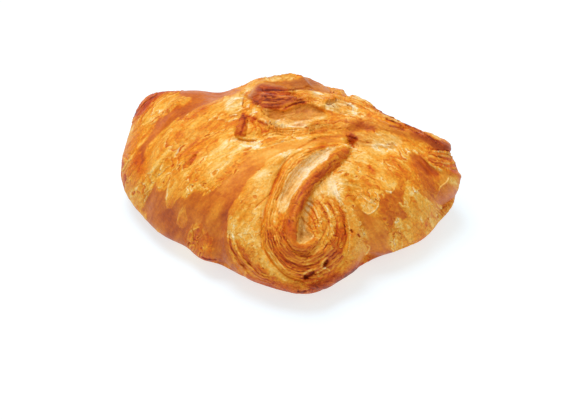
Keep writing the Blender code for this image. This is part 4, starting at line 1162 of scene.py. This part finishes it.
def paint(points, faces, front, rear):
    """The outward direction, tone, smoothness and rawness of every point, where it lies across and along the
    streaks, and how far it faces down.
    """
    outward = normals(points, faces)
    u, v, across, along = flow_of(points, outward, front, rear)
    wander_u = EDGE_WANDER * texture("wander sideways", across, along)
    wander_v = EDGE_WANDER * texture("wander upward", across, along)
    place_u, place_v = u + wander_u, v + wander_v
    line_u, line_v = u + LINE_SHARE * wander_u, v + LINE_SHARE * wander_v
    tone, smooth, raw = painted_places(place_u, place_v, across, along)
    tone = tone + total(stroke_height, BROWN_STROKES.values())(place_u, place_v)
    tone = tone + total(patch_height, BROWN_PATCHES.values())(place_u, place_v)
    tone = tone + total(line_browning, LINES.values())(line_u, line_v)
    for k, band in enumerate(LAYERS.values()):
        _, browner, covered, from_first, run = layer_lines(band, u, v)
        tone = tone + browner
        smooth = smooth + (LAYER_SMOOTHNESS - smooth) * covered
        across = np.where(covered > 0.5, from_first + BAND_SHIFT + BAND_STEP * k, across)
        along = np.where(covered > 0.5, run, along)
    shown = smoothstep(*SHOWN_FACING, outward @ front[2])
    smooth, raw = smooth * shown, raw * shown
    tone = PLAIN_BROWN + (tone - PLAIN_BROWN) * shown
    patches = texture("patches", *points.T)
    smooth = smooth + (1 - shown) * smoothstep(-0.2, 0.4, patches)
    under = smoothstep(0.0, -0.8, outward[:, 2])
    foot = smoothstep(FOOT_HEIGHT, 1, points[:, 2])
    tone = tone + (1 - shown) * (BACK_BROWN + BACK_PATCHES * patches)
    tone = tone + FOOT_BROWN * foot + SOLE_BROWN * under
    streaks = texture("streaks", across, along)
    blots = texture("blots", across, along)
    flaky_tone = FLAKY_BLOTS * blots + FLAKY_STREAKS * streaks
    smooth_tone = SMOOTH_BLOTS * blots + SMOOTH_STREAKS * streaks
    tone = tone + (1 - smooth) * flaky_tone + smooth * smooth_tone
    return outward, tone, smooth, raw, across, along, under


def fine_features(points, across, along):
    """How strong each fine feature of the crust is at each point."""
    bend_a = across + BEND_ACROSS * texture("bend across", across, along)
    bend_b = along + BEND_ALONG * texture("bend along", across, along)
    free = smoothstep(-0.35, 0.25, texture("free sheets", across, along))
    inside, outside, shade = sheet_edges(61, bend_a, bend_b, width=4.5, length=10.0, sheets=1.9)
    large, large_edge = flakes(33, bend_a, bend_b, width=2.0, length=6.5)
    small, small_edge = flakes(43, bend_a, bend_b, width=1.1, length=3.2)
    pit, pit_rim = pits(29, bend_a, bend_b, spacing=3.2, radius=0.5, share=0.35)
    return {
        "edge of a sheet": free * bump(inside, 1.2),
        "gap before a sheet": free * bump(outside, 0.4),
        "shadow of a sheet": free * bump(outside, 0.5),
        "rim of a sheet": free * bump(inside, 0.3),
        "shade of a sheet": shade,
        "large flake": large,
        "edge of a large flake": bump(large_edge, 0.4),
        "rim of a large flake": bump(large_edge - 0.25, 0.16),
        "gap by a large flake": bump(large_edge, 0.14),
        "small flake": small,
        "gap by a small flake": bump(small_edge, 0.12),
        "pit": pit,
        "rim of a pit": pit_rim,
        "fibres": texture("fibres", across, along),
        "blisters": texture("blisters", *points.T),
        "grain": texture("grain", *points.T),
    }


def relief(features, amounts):
    """How far the features raise each point together, and how much browner they make it."""
    height = sum(rise * features[name] for name, (rise, _) in amounts.items())
    brown = sum(browner * features[name] for name, (_, browner) in amounts.items())
    return height, brown


def flaked(points, outward, smooth, across, along, under):
    """The points raised by fine layers and blisters, and how much browner each one gets."""
    flaky = 1 - smooth
    features = fine_features(points, across, along)
    height, brown = relief(features, FLAKY_RELIEF)
    # Painted light and shade: raised crust paler, sunk crust browner
    brown = brown - PAINTED_LIGHT_BY_HEIGHT * height
    smooth_height, smooth_brown = relief(features, SMOOTH_RELIEF)
    height = flaky * height + (1 - flaky) * smooth_height
    brown = flaky * brown + (1 - flaky) * smooth_brown
    height = height * (1 - SOLE_FLATNESS * under)
    return points + outward * height[:, None], brown


def crust_colour(brown, smooth, raw):
    """The colour of each point, taken from even light to linear light by the formula of sRGB."""
    stops = list(CRUST_COLOURS)
    seen = np.array([CRUST_COLOURS[s] for s in stops]) / 255
    flaky_crust, smooth_crust, dough = (
        np.stack([np.interp(brown, stops, seen[:, kind, c]) for c in range(3)], 1) for kind in range(3)
    )
    srgb = flaky_crust + (smooth_crust - flaky_crust) * smooth[:, None]
    srgb = srgb + (dough - srgb) * raw[:, None]
    return np.where(srgb <= 0.04045, srgb / 12.92, ((srgb + 0.055) / 1.055) ** 2.4)


def set_attribute(mesh, name, kind, values):
    """A value or a colour for every point of the mesh, which the material reads by name."""
    layer = mesh.attributes.new(name, kind, "POINT")
    field = "color" if kind == "FLOAT_COLOR" else "value"
    layer.data.foreach_set(field, np.ascontiguousarray(values, np.float32).ravel())


def add_node(tree, kind, values):
    """A node with these values in its inputs."""
    node = tree.nodes.new(kind)
    for name, value in values.items():
        node.inputs[name].default_value = value
    return node


def attribute_node(tree, name):
    node = tree.nodes.new("ShaderNodeAttribute")
    node.attribute_name = name
    return node


def noise_value(tree, place, values):
    """Fine noise that stays with the object."""
    node = add_node(tree, "ShaderNodeTexNoise", values)
    tree.links.new(place.outputs["Object"], node.inputs["Vector"])
    return node.outputs["Fac"]


def mapped(tree, source, values):
    """A value brought to another range."""
    node = add_node(tree, "ShaderNodeMapRange", values)
    tree.links.new(source, node.inputs["Value"])
    return node.outputs["Result"]


def bumped(tree, height, values, below=None):
    """The shading of a fine bump, on top of another one if there is one below."""
    node = add_node(tree, "ShaderNodeBump", values)
    tree.links.new(height, node.inputs["Height"])
    if below is not None:
        tree.links.new(below, node.inputs["Normal"])
    return node.outputs["Normal"]


def crust_material():
    """The look of the crust: the colour of its points, fine specks, a little gloss and a very fine bump."""
    material = bpy.data.materials.new("flaky crust")
    material.use_nodes = True
    tree = material.node_tree
    surface = tree.nodes["Principled BSDF"]
    surface.inputs["Specular IOR Level"].default_value = 0.16
    colour = attribute_node(tree, "crust").outputs["Color"]
    flaky = attribute_node(tree, "flaky").outputs["Fac"]

    place = tree.nodes.new("ShaderNodeTexCoord")
    specks = noise_value(tree, place, {"Scale": 1200.0, "Detail": 3.0, "Roughness": 0.6})
    grain = noise_value(tree, place, {"Scale": 1700.0, "Detail": 2.0})

    lighter = mapped(tree, specks, {"From Min": 0.3, "From Max": 0.7, "To Min": 0.80, "To Max": 1.18})
    speckled = mapped(tree, flaky, {"To Min": 0.5})
    tint = tree.nodes.new("ShaderNodeMix")
    tint.data_type = "RGBA"
    tint.blend_type = "MULTIPLY"
    tree.links.new(speckled, tint.inputs["Factor"])
    tree.links.new(colour, tint.inputs["A"])
    tree.links.new(lighter, tint.inputs["B"])
    tree.links.new(tint.outputs["Result"], surface.inputs["Base Color"])

    roughness = mapped(tree, flaky, {"To Min": 0.40, "To Max": 0.50})
    tree.links.new(roughness, surface.inputs["Roughness"])

    speck_bump = bumped(tree, specks, {"Strength": 0.7, "Distance": 0.0003})
    grain_bump = bumped(tree, grain, {"Strength": 0.3, "Distance": 0.0002}, speck_bump)
    tree.links.new(grain_bump, surface.inputs["Normal"])
    return material


def add_panel(name, points, faces, outward, attributes, material):
    """One panel of the crust. Its shading is that of the whole crust, so no seam shows where panels meet."""
    used, renumbered = np.unique(faces, return_inverse=True)
    panel_faces = renumbered.reshape(faces.shape)
    mesh = bpy.data.meshes.new(name)
    mesh.from_pydata((points[used] * MM).tolist(), [], panel_faces.tolist())
    mesh.polygons.foreach_set("use_smooth", np.ones(len(faces), bool))
    mesh.normals_split_custom_set_from_vertices(outward[used].tolist())
    for attribute, (kind, values) in attributes.items():
        set_attribute(mesh, attribute, kind, values[used])
    mesh.materials.append(material)
    panel = bpy.data.objects.new(name, mesh)
    bpy.context.scene.collection.objects.link(panel)
    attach(panel, "root")
    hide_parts("pastry")


def make_crust():
    """The fine crust that stands for the solid. Gives the shift from the drawing frame to the solid's."""
    front, rear = view_axes(*FRONT_VIEW), view_axes(*REAR_VIEW)
    points, faces = folded_pastry()
    outward, brown, smooth, raw, across, along, under = paint(points, faces, front, rear)
    low, high = points.min(axis=0), points.max(axis=0)
    cad_low, cad_high = (np.array(corner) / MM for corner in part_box("pastry"))
    shift = (cad_low + cad_high) / 2 - (low + high) / 2
    shift[2] = -SOLE_CUT
    points, flake_brown = flaked(points, outward, smooth, across, along, under)
    points = points + shift
    points[:, 2] = np.maximum(points[:, 2], 0)
    colour = np.concatenate([crust_colour(brown + flake_brown, smooth, raw), np.ones((len(points), 1))], 1)
    attributes = {
        "crust": ("FLOAT_COLOR", colour),
        "flaky": ("FLOAT", 1 - smooth),
    }
    outward = normals(points, faces)
    material = crust_material()
    for name, panel_faces in zip(PANELS, np.split(faces, len(PANELS))):
        add_panel(name, points, panel_faces, outward, attributes, material)
    return shift


def make_floor():
    """The white floor that the pastry stands on. A glow of its own keeps it as white as in the photo."""
    mesh = bpy.data.meshes.new("floor")
    signs = ((-1, -1), (1, -1), (1, 1), (-1, 1))
    corners = [(a * FLOOR_REACH, b * FLOOR_REACH, FLOOR_HEIGHT) for a, b in signs]
    mesh.from_pydata(corners, [], [(0, 1, 2, 3)])
    material = bpy.data.materials.new("white floor")
    material.use_nodes = True
    surface = material.node_tree.nodes["Principled BSDF"]
    surface.inputs["Base Color"].default_value = FLOOR_COLOUR
    surface.inputs["Emission Color"].default_value = (1, 1, 1, 1)
    surface.inputs["Emission Strength"].default_value = FLOOR_GLOW
    surface.inputs["Roughness"].default_value = 0.9
    mesh.materials.append(material)
    floor = bpy.data.objects.new("floor", mesh)
    bpy.context.scene.collection.objects.link(floor)


def area_light(name, place, target, size, watts, colour):
    """A round lamp that looks at its target."""
    light = bpy.data.lights.new(name, "AREA")
    light.shape = "DISK"
    light.size = size
    light.energy = watts
    light.color = colour
    lamp = bpy.data.objects.new(name, light)
    lamp.location = place
    lamp.rotation_euler = (Vector(target) - Vector(place)).to_track_quat("-Z", "Y").to_euler()
    bpy.context.scene.collection.objects.link(lamp)


def light_scene():
    """Even light from all round, and one soft lamp overhead."""
    world = bpy.data.worlds.new("studio")
    world.use_nodes = True
    background = world.node_tree.nodes["Background"]
    background.inputs["Color"].default_value = STUDIO_COLOUR
    background.inputs["Strength"].default_value = STUDIO_STRENGTH
    bpy.context.scene.world = world
    area_light("overhead", LAMP_PLACE, (0, 0, 0), LAMP_SIZE, LAMP_WATTS, LAMP_COLOUR)
    bpy.context.scene.view_settings.view_transform = "Standard"


def place_camera(shift):
    """The camera of the photo, which looks along the front view."""
    right, up, eye = view_axes(*FRONT_VIEW)
    target = (DRAWING_CENTRE + shift) * MM
    place = target + eye * DRAWING_DISTANCE * MM
    data = bpy.data.cameras.new("camera")
    data.sensor_width = SENSOR_WIDTH
    data.lens = SENSOR_WIDTH * DRAWING_DISTANCE / PICTURE_WIDTH
    data.clip_start = NEAREST_SEEN
    camera = bpy.data.objects.new("camera", data)
    camera.matrix_world = Matrix((
        (right[0], up[0], eye[0], place[0]),
        (right[1], up[1], eye[1], place[1]),
        (right[2], up[2], eye[2], place[2]),
        (0, 0, 0, 1),
    ))
    bpy.context.scene.collection.objects.link(camera)
    bpy.context.scene.camera = camera


shift = make_crust()
make_floor()
light_scene()
place_camera(shift)
